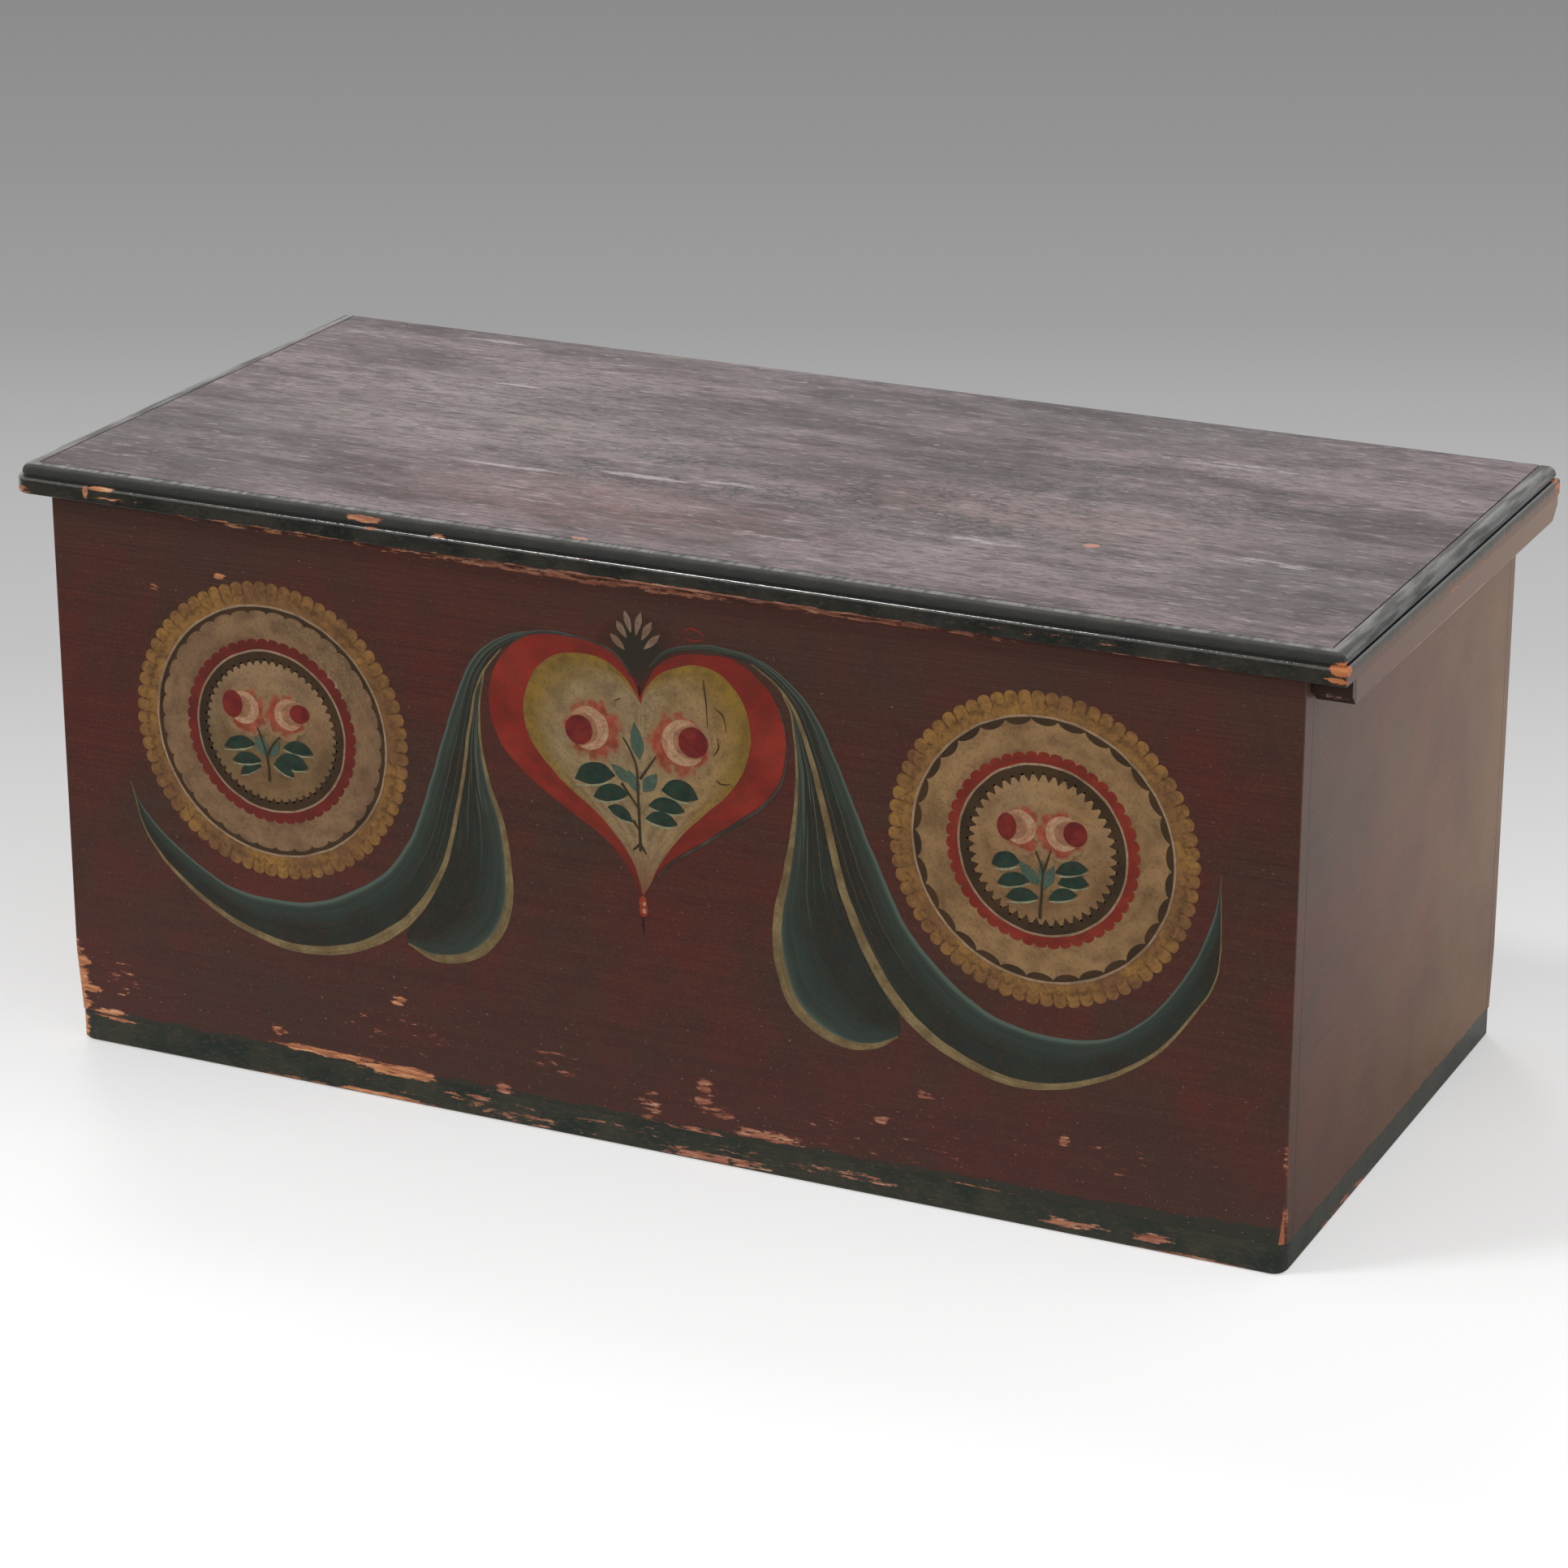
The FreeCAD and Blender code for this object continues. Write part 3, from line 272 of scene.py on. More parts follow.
FOOT_RUBS = on_front(
    (-541, 8, 26, 40, 0.93, 24), (-500, 25, 44, 6, 0.66), (-225, 24, 70, 6, 0.74),
    (-330, 1, 90, 4.5, 0.76, 6), (-245, 2, 80, 5, 0.84, 6), (-110, 6, 110, 10, 0.56, 6),
    (-160, 16, 46, 9, 0.66), (61, 5, 80, 8, 0.76, 6), (170, 14, 90, 9, 0.58), (367, 9, 56, 7, 0.7),
    (430, 11, 34, 7, 0.7), (460, 1, 90, 4, 0.74, 6), (0, 12, 520, 16, 0.42),
) + [
    ((536, -120, 4), (8, 150, 8), 0.55), ((0, 259, 20), (480, 8, 12), 0.5),
    ((-535, 60, 20), (8, 200, 12), 0.55),
]
SIDE_RUBS = [
    ((0, 259, 30), (480, 8, 10), 0.5), ((-535, 60, 28), (8, 200, 10), 0.55),
    ((538, 262, 40), (14, 14, 50), 0.6), ((-538, 262, 40), (14, 14, 60), 0.6),
    ((-538, -259, 58), (14, 19, 42), 0.9), ((538, -259, 42), (10, 12, 34), 0.7),
]


def case_paint(name, draw, fleck, spots):
    """Brushed oil paint over pine, in one frame for all boards, so that neighbours match: a low sheen
    broken by brush marks along the board, and matt wood in the knocks and inside."""
    material, place = new_material(name)
    axes = add("SeparateXYZ", place)
    width = add("Math ABSOLUTE", axes.outputs["X"])
    depth = add("Math ABSOLUTE", axes.outputs["Y"])
    height = axes.outputs["Z"]
    ragged = add("TexNoise", place, Scale=METRE / 14, Detail=5.0, Roughness=0.6)

    # Outside and inside.
    shell = add("Math MAXIMUM", add("Math SUBTRACT", width, END_FACE - PAINT),
                add("Math SUBTRACT", depth, BACK_FACE - PAINT))
    outside = add("MapRange", shell, -0.0005, 0.0)
    below_lid = add("MapRange", add("Math MULTIPLY_ADD", ragged, -0.002, height), 0.4756, 0.4750)
    painted = add("Math MULTIPLY", outside, below_lid)

    # The green band laps up over the seam, and higher towards the right of the front.
    along = add("MapRange", axes.outputs["X"], -0.45, 0.54)
    rise = add("Math MULTIPLY_ADD", add("Math POWER", along, 4.0), 0.0101, 0.0294)
    front = add("MapRange", axes.outputs["Y"], -0.2565, FRONT_FACE + PAINT)
    line = add("MixRGB", front, (0.0256, 0.0256, 0.0256, 1), rise)
    waved = add("Math MULTIPLY_ADD", ragged, 0.013, line)
    lap = add("MapRange", add("Math SUBTRACT", height, waved), -0.0055, -0.0075)

    oxblood = oxblood_colour(place, draw)
    top_strip = add("MapRange", height, 0.39, 0.45, 0.0, 0.4)
    oxblood = add("MixRGB", top_strip, oxblood, "#54382f")
    oxblood = tinted(oxblood, "#452b27", height, 0.15, 0.04, 0.45)
    # Ends paler towards the back: faded paint and a painted sheen; the back a little paler too.
    at_end = add("MapRange", width, END_FACE - PAINT, 0.5345)
    pale = add("Math MULTIPLY", at_end, add("MapRange", axes.outputs["Y"], -0.26, 0.26, 0.12, 0.66))
    rear = add("MapRange", axes.outputs["Y"], 0.2584, 0.2588, 0.0, 0.2)
    uneven = add("MapRange", add("TexNoise", place, Scale=METRE / 90, Detail=5.0), 0.35, 0.65, 0.75, 1.2)
    pale = add("Math MULTIPLY", add("Math MAXIMUM", pale, rear), uneven)
    oxblood = add("MixRGB", pale, oxblood, add("MixRGB", ragged, "#846245", "#947353"))
    green = add("MixRGB", ragged, "#262d26", "#3c3b30")
    paint = add("MixRGB", add("Math MULTIPLY", lap, 0.92), oxblood, green)

    # Dark joint lines where the lapped boards meet, and a faint seam above the foot.
    front_joint = within(axes.outputs["Y"], FRONT_JOINT - 0.0004, FRONT_JOINT + 0.0004, 0.0004)
    rear_joint = within(axes.outputs["Y"], BACK_JOINT - 0.0004, BACK_JOINT + 0.0004, 0.0004)
    joint = add("Math MAXIMUM", front_joint, rear_joint)
    seam = add("MapRange", height, 0.0258, 0.0252, 0.0, 0.4)
    crevice = add("Math MAXIMUM", joint, seam)
    paint = add("MixRGB", add("Math MULTIPLY", crevice, 0.7), paint, "#1c1512")

    # Flakes down to the wood, a rim of old ground round them, and small pale specks low down.
    rub = rubbed(place, spots)
    bare = flaked(place, rub, fleck, 0.80)
    rim = flaked(place, rub, fleck, 0.75)
    paint = add("MixRGB", add("Math MULTIPLY", rim, 0.45), paint, "#6b3427")
    speck = add("TexNoise", drawn_out(place, 3.4, 3.4, 2.4), Scale=1.0, Detail=1.5)
    low = add("MapRange", height, 0.16, 0.05, 0.0, 0.022)
    specks = add("MapRange", add("Math ADD", speck, low), 0.745, 0.765)
    paint = add("MixRGB", add("Math MULTIPLY", specks, 0.5), paint, "#a08a80")
    skin = add("MixRGB", bare, paint, knocked_wood(place, draw))
    wood = pine_colour(place, [4 * length for length in draw])
    # The foot corners are worn round through the paint, and the wood there has reddened.
    worn = add("Math MULTIPLY", add("MapRange", height, 0.2, 0.1, 0.0, 0.75),
               add("MapRange", depth, 0.25, 0.252))
    wood = add("MixRGB", worn, wood, "#b96a48")
    colour = add("MixRGB", painted, wood, skin)

    brush = add("TexNoise", drawn_out(place, *draw), Scale=3.0, Detail=6.0)
    relief = add("Math MULTIPLY_ADD", crevice, -1.0, add("Math MULTIPLY", brush, 1.4))
    dull = add("MapRange", add("Math SUBTRACT", painted, bare), 0.0, 1.0, 0.8, 0.44)
    finish(colour, dull, relief, 0.00025, 0.3)
    return material


front_paint = case_paint("oxblood oil paint on the front", (160, 7, 7), (17, 4, 3.2), FRONT_RUBS)
back_paint = case_paint("oxblood oil paint on the back", (160, 7, 7), (17, 4, 3.2), SIDE_RUBS)
end_paint = case_paint("oxblood oil paint on the ends", (7, 150, 7), (4, 17, 3.2), SIDE_RUBS)


def dress(material, *nodes):
    """Gives CAD nodes their material."""
    for node in nodes:
        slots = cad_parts[node].material_slots
        for slot in slots:
            slot.material = material
        if not slots:
            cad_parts[node].data.materials.append(material)


dress(front_paint, "front_board", "front_corner_nails")
dress(back_paint, "back_board", "back_corner_nails")
dress(end_paint, "left_end_board", "right_end_board")


# === Bottom boards =================================================================================
# Two pine boards nailed up under the case. Their edges show as a glossy dark green band round the
# foot, knocked bare along the arrises. The underside and the inside are unpainted.

# Brushed oil paint with more gloss than the case has, on a dark green that knocks have broken.
foot_paint, place = new_material("dark green oil paint, knocked")
axes = add("SeparateXYZ", place)
width = add("Math ABSOLUTE", axes.outputs["X"])
depth = add("Math ABSOLUTE", axes.outputs["Y"])
CORNER = 0.006
rounded = add("Math MAXIMUM", add("Math SUBTRACT", width, END_FACE - CORNER),
              add("Math SUBTRACT", depth, BACK_FACE - CORNER))
outer = add("MapRange", rounded, -0.001, 0.0)
above = add("MapRange", axes.outputs["Z"], 0.0002, 0.0006)
painted = add("Math MULTIPLY", outer, above)
cloud = add("TexNoise", place, Scale=METRE / 30, Detail=4.0)
green = tinted("#262e28", "#3d3c31", cloud, 0.35, 0.65)
speck = add("TexNoise", drawn_out(place, 6, 6, 2.4), Scale=1.0, Detail=4.0)
green = tinted(green, "#54473c", speck, 0.52, 0.7, 0.6)
bare = flaked(place, rubbed(place, FOOT_RUBS), (17, 17, 3.2), 0.80)
skin = add("MixRGB", bare, green, knocked_wood(place, (420, 40, 40)))
wood = pine_colour(place, (420, 40, 40))
dull = add("MapRange", add("Math SUBTRACT", painted, bare), 0.0, 1.0, 0.8, 0.36)
finish(add("MixRGB", painted, wood, skin), dull, speck, 0.0003, 0.3)
dress(foot_paint, "front_bottom_board", "rear_bottom_board")


# === Lid board =====================================================================================
# One wide pine board under worn brown-purple paint that has crackled and peeled a little on top. Its
# underside is bare.

LID_TOP, LID_UNDERSIDE = 0.5, 0.4774


def on_lid(*rubs):
    """Rubs on top of the lid: how far along and back, half the length and width, and how hard."""
    return rubbed(place, [((along, back, LID_TOP * METRE), (long, wide, 60), hard)
                          for along, back, long, wide, hard in rubs])


# Oil paint under tired varnish: a mottled brown-purple with a broken sheen, streaks and fine cracks.
lid_paint, place = new_material("worn brown oil paint, crackled")
axes = add("SeparateXYZ", place)
cloud = add("TexNoise", drawn_out(place, 260, 80, 80), Scale=1.0, Detail=5.0)
base = tinted("#4d3638", "#7d6569", cloud, 0.42, 0.58)
blot = add("TexNoise", drawn_out(place, 70, 26, 26), Scale=1.0, Detail=5.0, Distortion=0.6)
base = tinted(base, "#452f2e", blot, 0.47, 0.36, 0.6)
base = tinted(base, "#5d4c33", blot, 0.60, 0.70, 0.5)
paler = on_lid((-250, 60, 230, 130, 0.24), (250, -50, 190, 170, 0.22))
base = add("MixRGB", paler, base, "#b8aaa6")
darker = on_lid((-480, -110, 150, 170, 0.35), (250, 225, 300, 75, 0.55), (490, -110, 140, 170, 0.55),
                (0, 225, 200, 75, 0.4))
base = add("MixRGB", darker, base, "#2b1c1d")
reddish = on_lid((-90, -160, 240, 90, 0.5), (220, -40, 260, 60, 0.3))
base = add("MixRGB", reddish, base, "#7a463d")
# Streaks left by dusting and wear along the board, and the fine grain of old varnish; the pale streaks
# are partly a painted sheen.
drawn = drawn_out(place, 100, 16, 16)
streak = add("TexNoise", drawn, Scale=1.0, Detail=7.0, Roughness=0.66, Distortion=0.5)
base = tinted(base, "#3c2a2d", streak, 0.48, 0.36, 0.4)
base = tinted(base, "#9c8489", streak, 0.54, 0.68, 0.3)
drawn = drawn_out(place, 15, 3.4, 3.4)
fibre = add("TexNoise", drawn, Scale=1.0, Detail=7.0, Roughness=0.72, Distortion=0.9)
base = tinted(base, "#2b1a1b", fibre, 0.49, 0.39, 0.8)
base = tinted(base, "#a99195", fibre, 0.56, 0.68, 0.5)
dash = add("TexNoise", drawn_out(place, 20, 4.2, 4.2), Scale=1.0, Detail=3.0, Distortion=0.5)
base = tinted(base, "#2c1d1e", dash, 0.58, 0.62, 0.7)
base = tinted(base, "#b5a6a2", dash, 0.38, 0.34, 0.4)
# Fine cracks, closest together in the middle of the front half.
wander = add("TexNoise", place, Scale=METRE / 9, Detail=4.0).outputs["Color"]
warp = add("VectorMath MULTIPLY_ADD", wander, (0.012, 0.008, 0.0), place)
net = add("TexVoronoi", drawn_out(warp, 12, 6, 6), Scale=1.0, feature="DISTANCE_TO_EDGE")
tired = on_lid((-60, -60, 240, 80, 1.0), (130, -60, 220, 110, 0.8), (300, 60, 300, 140, 0.6))
patchy = add("MapRange", add("TexNoise", place, Scale=METRE / 34, Detail=3.0), 0.44, 0.54)
crack = add("Math MULTIPLY", add("MapRange", net, 0.16, 0.05), add("Math MULTIPLY", tired, patchy))
base = add("MixRGB", add("Math MULTIPLY", crack, 0.9), base, "#150f0e")
# Long pale scratches, and chips down to the wood.
scratched = on_lid((-200, -99, 80, 7, 0.66), (-90, -79, 80, 9, 0.7), (-20, -68, 60, 7, 0.66),
                   (-308, 117, 40, 6, 0.66), (-395, 236, 60, 7, 0.62), (330, 150, 160, 14, 0.52),
                   (440, -80, 80, 14, 0.52), (220, -120, 100, 12, 0.5), (60, -180, 100, 12, 0.46))
scratch = flaked(place, scratched, (22, 2.4, 8), 0.76)
base = add("MixRGB", add("Math MULTIPLY", scratch, 0.6), base, "#cabfba")
chipped = rubbed(place, [((303, -97, 500), (10, 9, 20), 1.1), ((-60, -247, 500), (14, 5, 20), 0.8)])
chip = flaked(place, chipped, (7, 5, 7), 0.80)
base = add("MixRGB", chip, base, "#c08068")
under = add("MapRange", axes.outputs["Z"], LID_UNDERSIDE + 0.0016, LID_UNDERSIDE + 0.0006)
wood = pine_colour(place, (460, 40, 40))
relief = add("Math MULTIPLY_ADD", crack, -0.6, add("Math MULTIPLY", fibre, 1.4))
gloss = add("Math MULTIPLY_ADD", add("Math ADD", cloud, blot), 0.35, add("Math MULTIPLY", streak, 0.3))
dull = add("MapRange", gloss, 0.42, 0.58, 0.50, 0.34)
finish(add("MixRGB", under, base, wood), dull, relief, 0.0009, 0.45)
dress(lid_paint, "lid_board")


# === Moulded edge of the lid =======================================================================
# Planed pine strips, mitred at the front and nailed round the lid: a bead over a flat band, in
# glossy dark green. The lower arris and the corners are knocked down to orange wood. At the ends the
# band's lower half has been painted over with the case.

EDGE_RUBS = [
    # Along the front: a chip at the left, the bead, and the lower arris.
    ((-497, -266, 487), (4, 6, 8), 1.2), ((-482, -266, 490.5), (20, 6, 3), 1.2),
    ((-470, -266, 483), (60, 6, 3), 0.5), ((-243, -263, 497), (30, 6, 5), 0.95),
    ((-236, -266, 491), (14, 5, 3), 0.75), ((-175, -264, 492), (12, 6, 4), 0.7),
    ((-62, -264, 500), (13, 6, 4), 0.9), ((-40, -266, 491), (30, 5, 3), 0.55),
    ((50, -266.7, 477.4), (330, 6, 3.8), 0.95), ((-330, -266.7, 477.4), (190, 6, 3.4), 0.62),
    ((430, -266.7, 477.4), (120, 6, 3), 0.62), ((340, -266, 484), (120, 6, 4), 0.42),
    # The corners and the ends.
    ((564, -264, 490), (14, 14, 8), 1.1), ((560, -266, 482), (18, 6, 5), 0.72),
    ((-560, -262, 480), (18, 14, 6), 0.8), ((-566, -250, 494), (8, 14, 6), 0.55),
    ((568, 20, 478), (6, 220, 3), 0.7), ((-568, 0, 479), (8, 220, 4), 0.6),
    ((566, 252, 486), (10, 12, 12), 0.75), ((-566, 252, 486), (10, 12, 12), 0.75),
]

# Brushed oil paint, polished by dusting: nearly black, glossy on the flats and dull on the worn bead.
edge_paint, place = new_material("dark green oil paint, glossy")
axes = add("SeparateXYZ", place)
height = axes.outputs["Z"]
width = add("Math ABSOLUTE", axes.outputs["X"])
cloud = add("TexNoise", place, Scale=METRE / 26, Detail=4.0)
green = tinted("#2a2c27", "#403d36", cloud, 0.35, 0.65)
speck = add("TexNoise", drawn_out(place, 5, 5, 2.4), Scale=1.0, Detail=4.0)
green = tinted(green, "#57504a", speck, 0.54, 0.74, 0.55)
# Oxblood over the lower half of the band at both ends, dragged down in short streaks.
at_end = add("MapRange", width, 0.5662, 0.5676)
dragged = add("TexNoise", drawn_out(place, 5, 5, 22), Scale=1.0, Detail=4.0)
brow = add("MapRange", add("Math MULTIPLY_ADD", dragged, 0.012, height), 0.4945, 0.4895)
covered = add("Math MULTIPLY", at_end, brow)
worn_green = add("MixRGB", add("Math MULTIPLY", at_end, 0.2), green, "#5a5c52")
# Paler towards the back: faded paint and a painted sheen, as on the ends.
pale = add("MapRange", axes.outputs["Y"], -0.26, 0.26, 0.3, 0.7)
paled = add("MixRGB", pale, oxblood_colour(place, (7, 60, 7)), "#8f7058")
green = add("MixRGB", add("Math MULTIPLY", covered, 0.85), worn_green, paled)
# The groove under the bead is darkened: painted shade.
groove_shade = add("Math MULTIPLY", within(height, 0.4912, 0.4930, 0.0003), 0.85)
green = add("MixRGB", groove_shade, green, "#0d0f0e")
# The crown of the bead is paler, a worn line with a painted highlight on it, and its nose is painted
# nearly black as painted shade.
crown_wear_and_highlight = within(height, 0.4994, 0.5004, 0.0006)
green = add("MixRGB", add("Math MULTIPLY", crown_wear_and_highlight, 0.2), green, "#5f5852")
nose_shade = within(height, 0.4935, 0.4980, 0.0010)
green = add("MixRGB", add("Math MULTIPLY", nose_shade, 0.6), green, "#121413")
rub = rubbed(place, EDGE_RUBS)
bare = flaked(place, rub, (16, 16, 2.6), 0.80)
ground = flaked(place, rub, (16, 16, 2.6), 0.76)
green = add("MixRGB", add("Math MULTIPLY", ground, 0.7), green, "#5b2f25")
knocked = knocked_wood(place, (460, 460, 30))
knocked = tinted(knocked, "#d07c3c", axes.outputs["X"], 0.546, 0.552, 0.75)
skin = add("MixRGB", bare, green, knocked)
under = add("MapRange", height, LID_UNDERSIDE + 0.00005, LID_UNDERSIDE - 0.00005)
wood = pine_colour(place, (460, 460, 30))
bead = add("MapRange", height, 0.4925, 0.4935)
scuffed = add("TexNoise", drawn_out(place, 5, 56, 3), Scale=1.0, Detail=5.0)
scuffed = add("MapRange", scuffed, 0.40, 0.62, 0.14, 0.7)
front = add("MapRange", axes.outputs["Y"], -0.2565, FRONT_FACE + PAINT)
handled = add("Math MULTIPLY", bead, add("Math MAXIMUM", scuffed, front))
handled = add("Math MAXIMUM", handled, add("Math MULTIPLY", at_end, 0.6))
dull = add("Math MAXIMUM", add("Math MAXIMUM", bare, under), handled)
dull = add("MapRange", dull, 0.0, 1.0, 0.13, 0.9)
finish(add("MixRGB", under, skin, wood), dull, speck, 0.00015, 0.8)
dress(edge_paint, "front_edge", "left_edge", "right_edge", "front_edge_nails", "left_edge_nails",
      "right_edge_nails")


# === Cleats ========================================================================================
# Two pine battens that keep the lid flat, nailed up under its ends just outside the case. They are
# painted with the case, and rubbed along their lower arris.

# Brushed oil paint with a low sheen, paler towards the back: faded paint and a painted sheen.
cleat_paint, place = new_material("oxblood oil paint on battens")
depth = add("SeparateXYZ", place).outputs["Y"]
pale = add("MapRange", depth, -0.26, 0.26, 0.3, 0.7)
oxblood = add("MixRGB", pale, oxblood_colour(place, (7, 60, 7)), "#977a62")
# The front end of each batten is darkened: painted shade under the lid's front edge.
oxblood = tinted(oxblood, "#2b1f1b", depth, -0.2405, -0.2425, 0.8)
arris = [((567, 0, 457.5), (4, 300, 3), 0.95), ((-567, 0, 457.5), (4, 300, 3), 0.95),
         ((552, -246, 464), (20, 6, 8), 0.6), ((-552, -210, 464), (20, 6, 8), 0.6)]
worn = flaked(place, rubbed(place, arris), (4, 24, 4), 0.78)
skin = add("MixRGB", worn, oxblood, "#a9857a")
finish(skin, 0.42, worn, -0.0002, 0.3)
dress(cleat_paint, "left_cleat", "right_cleat", "left_cleat_nails", "right_cleat_nails")


# === Till ==========================================================================================
# A small open box across the left end, for candles and small things. Its front and bottom are thin
# pine boards, slid into grooves in the front and back of the case and nailed.

# Planed pine that was never painted: honey brown and nearly matt, darker where hands have been.
till_wood, place = new_material("bare pine, darkened")
wood = pine_colour(place, (36, 420, 36))
handled = add("TexNoise", place, Scale=METRE / 60, Detail=3.0)
wood = tinted(wood, "#5f4029", handled, 0.45, 0.7, 0.5)
finish(wood, 0.62, handled, 0.0002, 0.3)
dress(till_wood, "till_front", "till_bottom")


# === Hinges and nails ==============================================================================
# Two strap hinges, each a strap under the lid and a leaf on the back that roll round one pin, and
# their rose-headed nails. All are wrought iron, drawn out under the hammer and left black.

# Forged iron gone brown: shallow facets with a low sheen on dark scale, and matt spots of rust.
iron, place = new_material("wrought iron, browned")
hammer = add("TexVoronoi", place, Scale=METRE / 9, feature="SMOOTH_F1")
scale = add("TexNoise", place, Scale=METRE / 5, Detail=5.0)
colour = tinted("#322d2a", "#5a3d2e", scale, 0.4, 0.68)
rust = add("MapRange", scale, 0.4, 0.7, 0.42, 0.75)
finish(colour, rust, hammer, 0.0006, 0.5)
dress(iron, "left_hinge_leaf", "right_hinge_leaf", "left_hinge_pin", "right_hinge_pin",
      "left_leaf_nails", "right_leaf_nails", "left_hinge_strap", "right_hinge_strap",
      "left_strap_nails", "right_strap_nails", "till_nails", "bottom_nails")


# === Painted roundels ==============================================================================
# Two wheels in oil colour on the front board, each brushed coat over coat: an ochre ring of small
# lobes, a cream field, a brown ring, a scalloped red ring, a toothed ring and a cream disc.

COAT_STEP, HAIR = 0.00009, 0.00001


def coat(name, level, material, shapes):
    """One colour's shapes, as closed films on the front board. A shape is its steps along and across
    and a rule that turns a place on a unit sheet into millimetres across and up the board."""
    paint = bmesh.new()
    paint.loops.layers.uv.new("brush")
    for index, (along, across, rule) in enumerate(shapes):
        # Strokes that cross lie a hair apart.
        surface = FRONT_FACE - level * COAT_STEP - index % 8 * HAIR
        sheet = bmesh.ops.create_grid(paint, x_segments=along, y_segments=across, size=0.5,
                                      calc_uvs=True)
        for vertex in sheet["verts"]:
            x, z = rule(vertex.co.x + 0.5, vertex.co.y + 0.5)
            # The hand's waver, about half a millimetre.
            spot = Vector((x / 16, 3.0 * level, z / 16))
            x += 0.6 * noise.noise(spot)
            z += 0.6 * noise.noise(spot + Vector((0, 50, 0)))
            vertex.co = (x / METRE, surface, z / METRE)
    bmesh.ops.remove_doubles(paint, verts=paint.verts[:], dist=0.000002)
    back = bmesh.ops.extrude_face_region(paint, geom=paint.faces[:])
    for vertex in back["geom"]:
        if isinstance(vertex, bmesh.types.BMVert):
            vertex.co.y = FRONT_FACE + COAT_STEP
    bmesh.ops.recalc_face_normals(paint, faces=paint.faces[:])
    # The extrusion makes its side faces in no fixed order, so all faces are put in order of place.
    in_order = sorted(paint.faces, key=lambda face: face.calc_center_median()[:])
    for rank, face in enumerate(in_order):
        face.index = rank
    paint.faces.sort()
    mesh = bpy.data.meshes.new(name)
    paint.to_mesh(mesh)
    paint.free()
    mesh.materials.append(material)
    film = bpy.data.objects.new(name, mesh)
    scene.collection.objects.link(film)
    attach(film, "case")


def band(centre, inner, outer):
    """A ring between two radii, which may vary once round (0 to 1)."""
    def rule(u, v):
        near = inner(u) if callable(inner) else inner
        far = outer(u) if callable(outer) else outer
        angle = 2 * math.pi * u
        reach = near + (far - near) * v
        return centre[0] + reach * math.cos(angle), centre[1] + reach * math.sin(angle)
    return rule


def lobes(count, low, high, sharp=0.5):
    """A radius that swells from low to high and back in each of `count` even lobes."""
    return lambda u: low + (high - low) * (1 - (2 * ((u * count) % 1) - 1) ** 2) ** sharp


def teeth(count, low, high):
    """A radius that runs up and down between low and high in straight teeth."""
    return lambda u: low + (high - low) * abs(2 * ((u * count) % 1) - 1)


def coat_colour(place, first, second, patch, streaks):
    """Oil colour put on by brush: two tones in patches of a size in millimetres, streaked along the
    stroke, and peppered with the grain of old varnish."""
    cloud = add("TexNoise", place, Scale=METRE / patch, Detail=3.0)
    tone = tinted(first, second, cloud, 0.38, 0.62)
    brush = add("UVMap", uv_map="brush")
    drawn = add("VectorMath MULTIPLY", brush, (streaks[0], streaks[1], 1))
    streak = add("TexNoise", drawn, Scale=1.0, Detail=3.0)
    tone = tinted(tone, "#4a3426", streak, 0.42, 0.68, 0.4)
    grain = add("TexNoise", place, Scale=METRE / 2.1, Detail=3.0)
    return tinted(tone, "#57402f", grain, 0.5, 0.8, 0.55)


def thinned(place, colour, amount):
    """Shows the oxblood ground through small losses in a coat."""
    loss = flaked(place, 0.0, (5, 5, 3.4), 0.80 - amount)
    return add("MixRGB", loss, colour, oxblood_colour(place, (160, 7, 7)))


def oil_colour(name, first, second, patch, streaks, lost=None, dull=0.42):
    """A plain coat of oil colour, with a low sheen. `lost` is how far the ground shows through."""
    material, place = new_material(name)
    colour = coat_colour(place, first, second, patch, streaks)
    finish(colour if lost is None else thinned(place, colour, lost), dull, specular=0.25)
    return material


WHEELS = {"left": (-336, 304), "right": (333, 312)}
DABS = 68

# Ochre laid in dabs: dull gold, with the brown of the grain and dark gaps showing through.
ochre, place = new_material("ochre oil colour")
colour = coat_colour(place, "#8a6340", "#a67a42", 34, (DABS, 3))
# Each lobe is one dab of the brush: thin dark lines part the dabs and close them off inside.
brush = add("SeparateXYZ", add("UVMap", uv_map="brush"))
smudge = add("TexNoise", place, Scale=METRE / 5, Detail=3.0)
dab = add("Math FRACT", add("Math MULTIPLY", brush.outputs["X"], DABS))
gap = add("Math ABSOLUTE", add("Math SUBTRACT", dab, 0.5))
gap = add("Math MULTIPLY_ADD", smudge, 0.16, gap)
line = add("Math MULTIPLY", add("MapRange", gap, 0.46, 0.56),
           add("MapRange", brush.outputs["Y"], 0.35, 0.6))
arch = add("Math MULTIPLY_ADD", add("Math POWER", gap, 2.0), 0.5, brush.outputs["Y"])
line = add("Math MAXIMUM", line, add("Math MULTIPLY", within(arch, 0.52, 0.56, 0.07), 0.6))
line = add("Math MULTIPLY", line, add("MapRange", smudge, 0.36, 0.6, 0.15, 0.8))
colour = add("MixRGB", line, colour, "#4f3524")
colour = tinted(colour, "#634a2c", smudge, 0.52, 0.7, 0.6)
colour = tinted(colour, "#5b4126", brush.outputs["Y"], 0.12, 0.0, 0.5)
finish(thinned(place, colour, 0.06), 0.45, specular=0.25)
coat("ochre_lobes", 1, ochre, [(DABS * 12, 3, band(middle, 105, lobes(DABS, 121.5, 126, 0.6)))
                               for middle in WHEELS.values()])

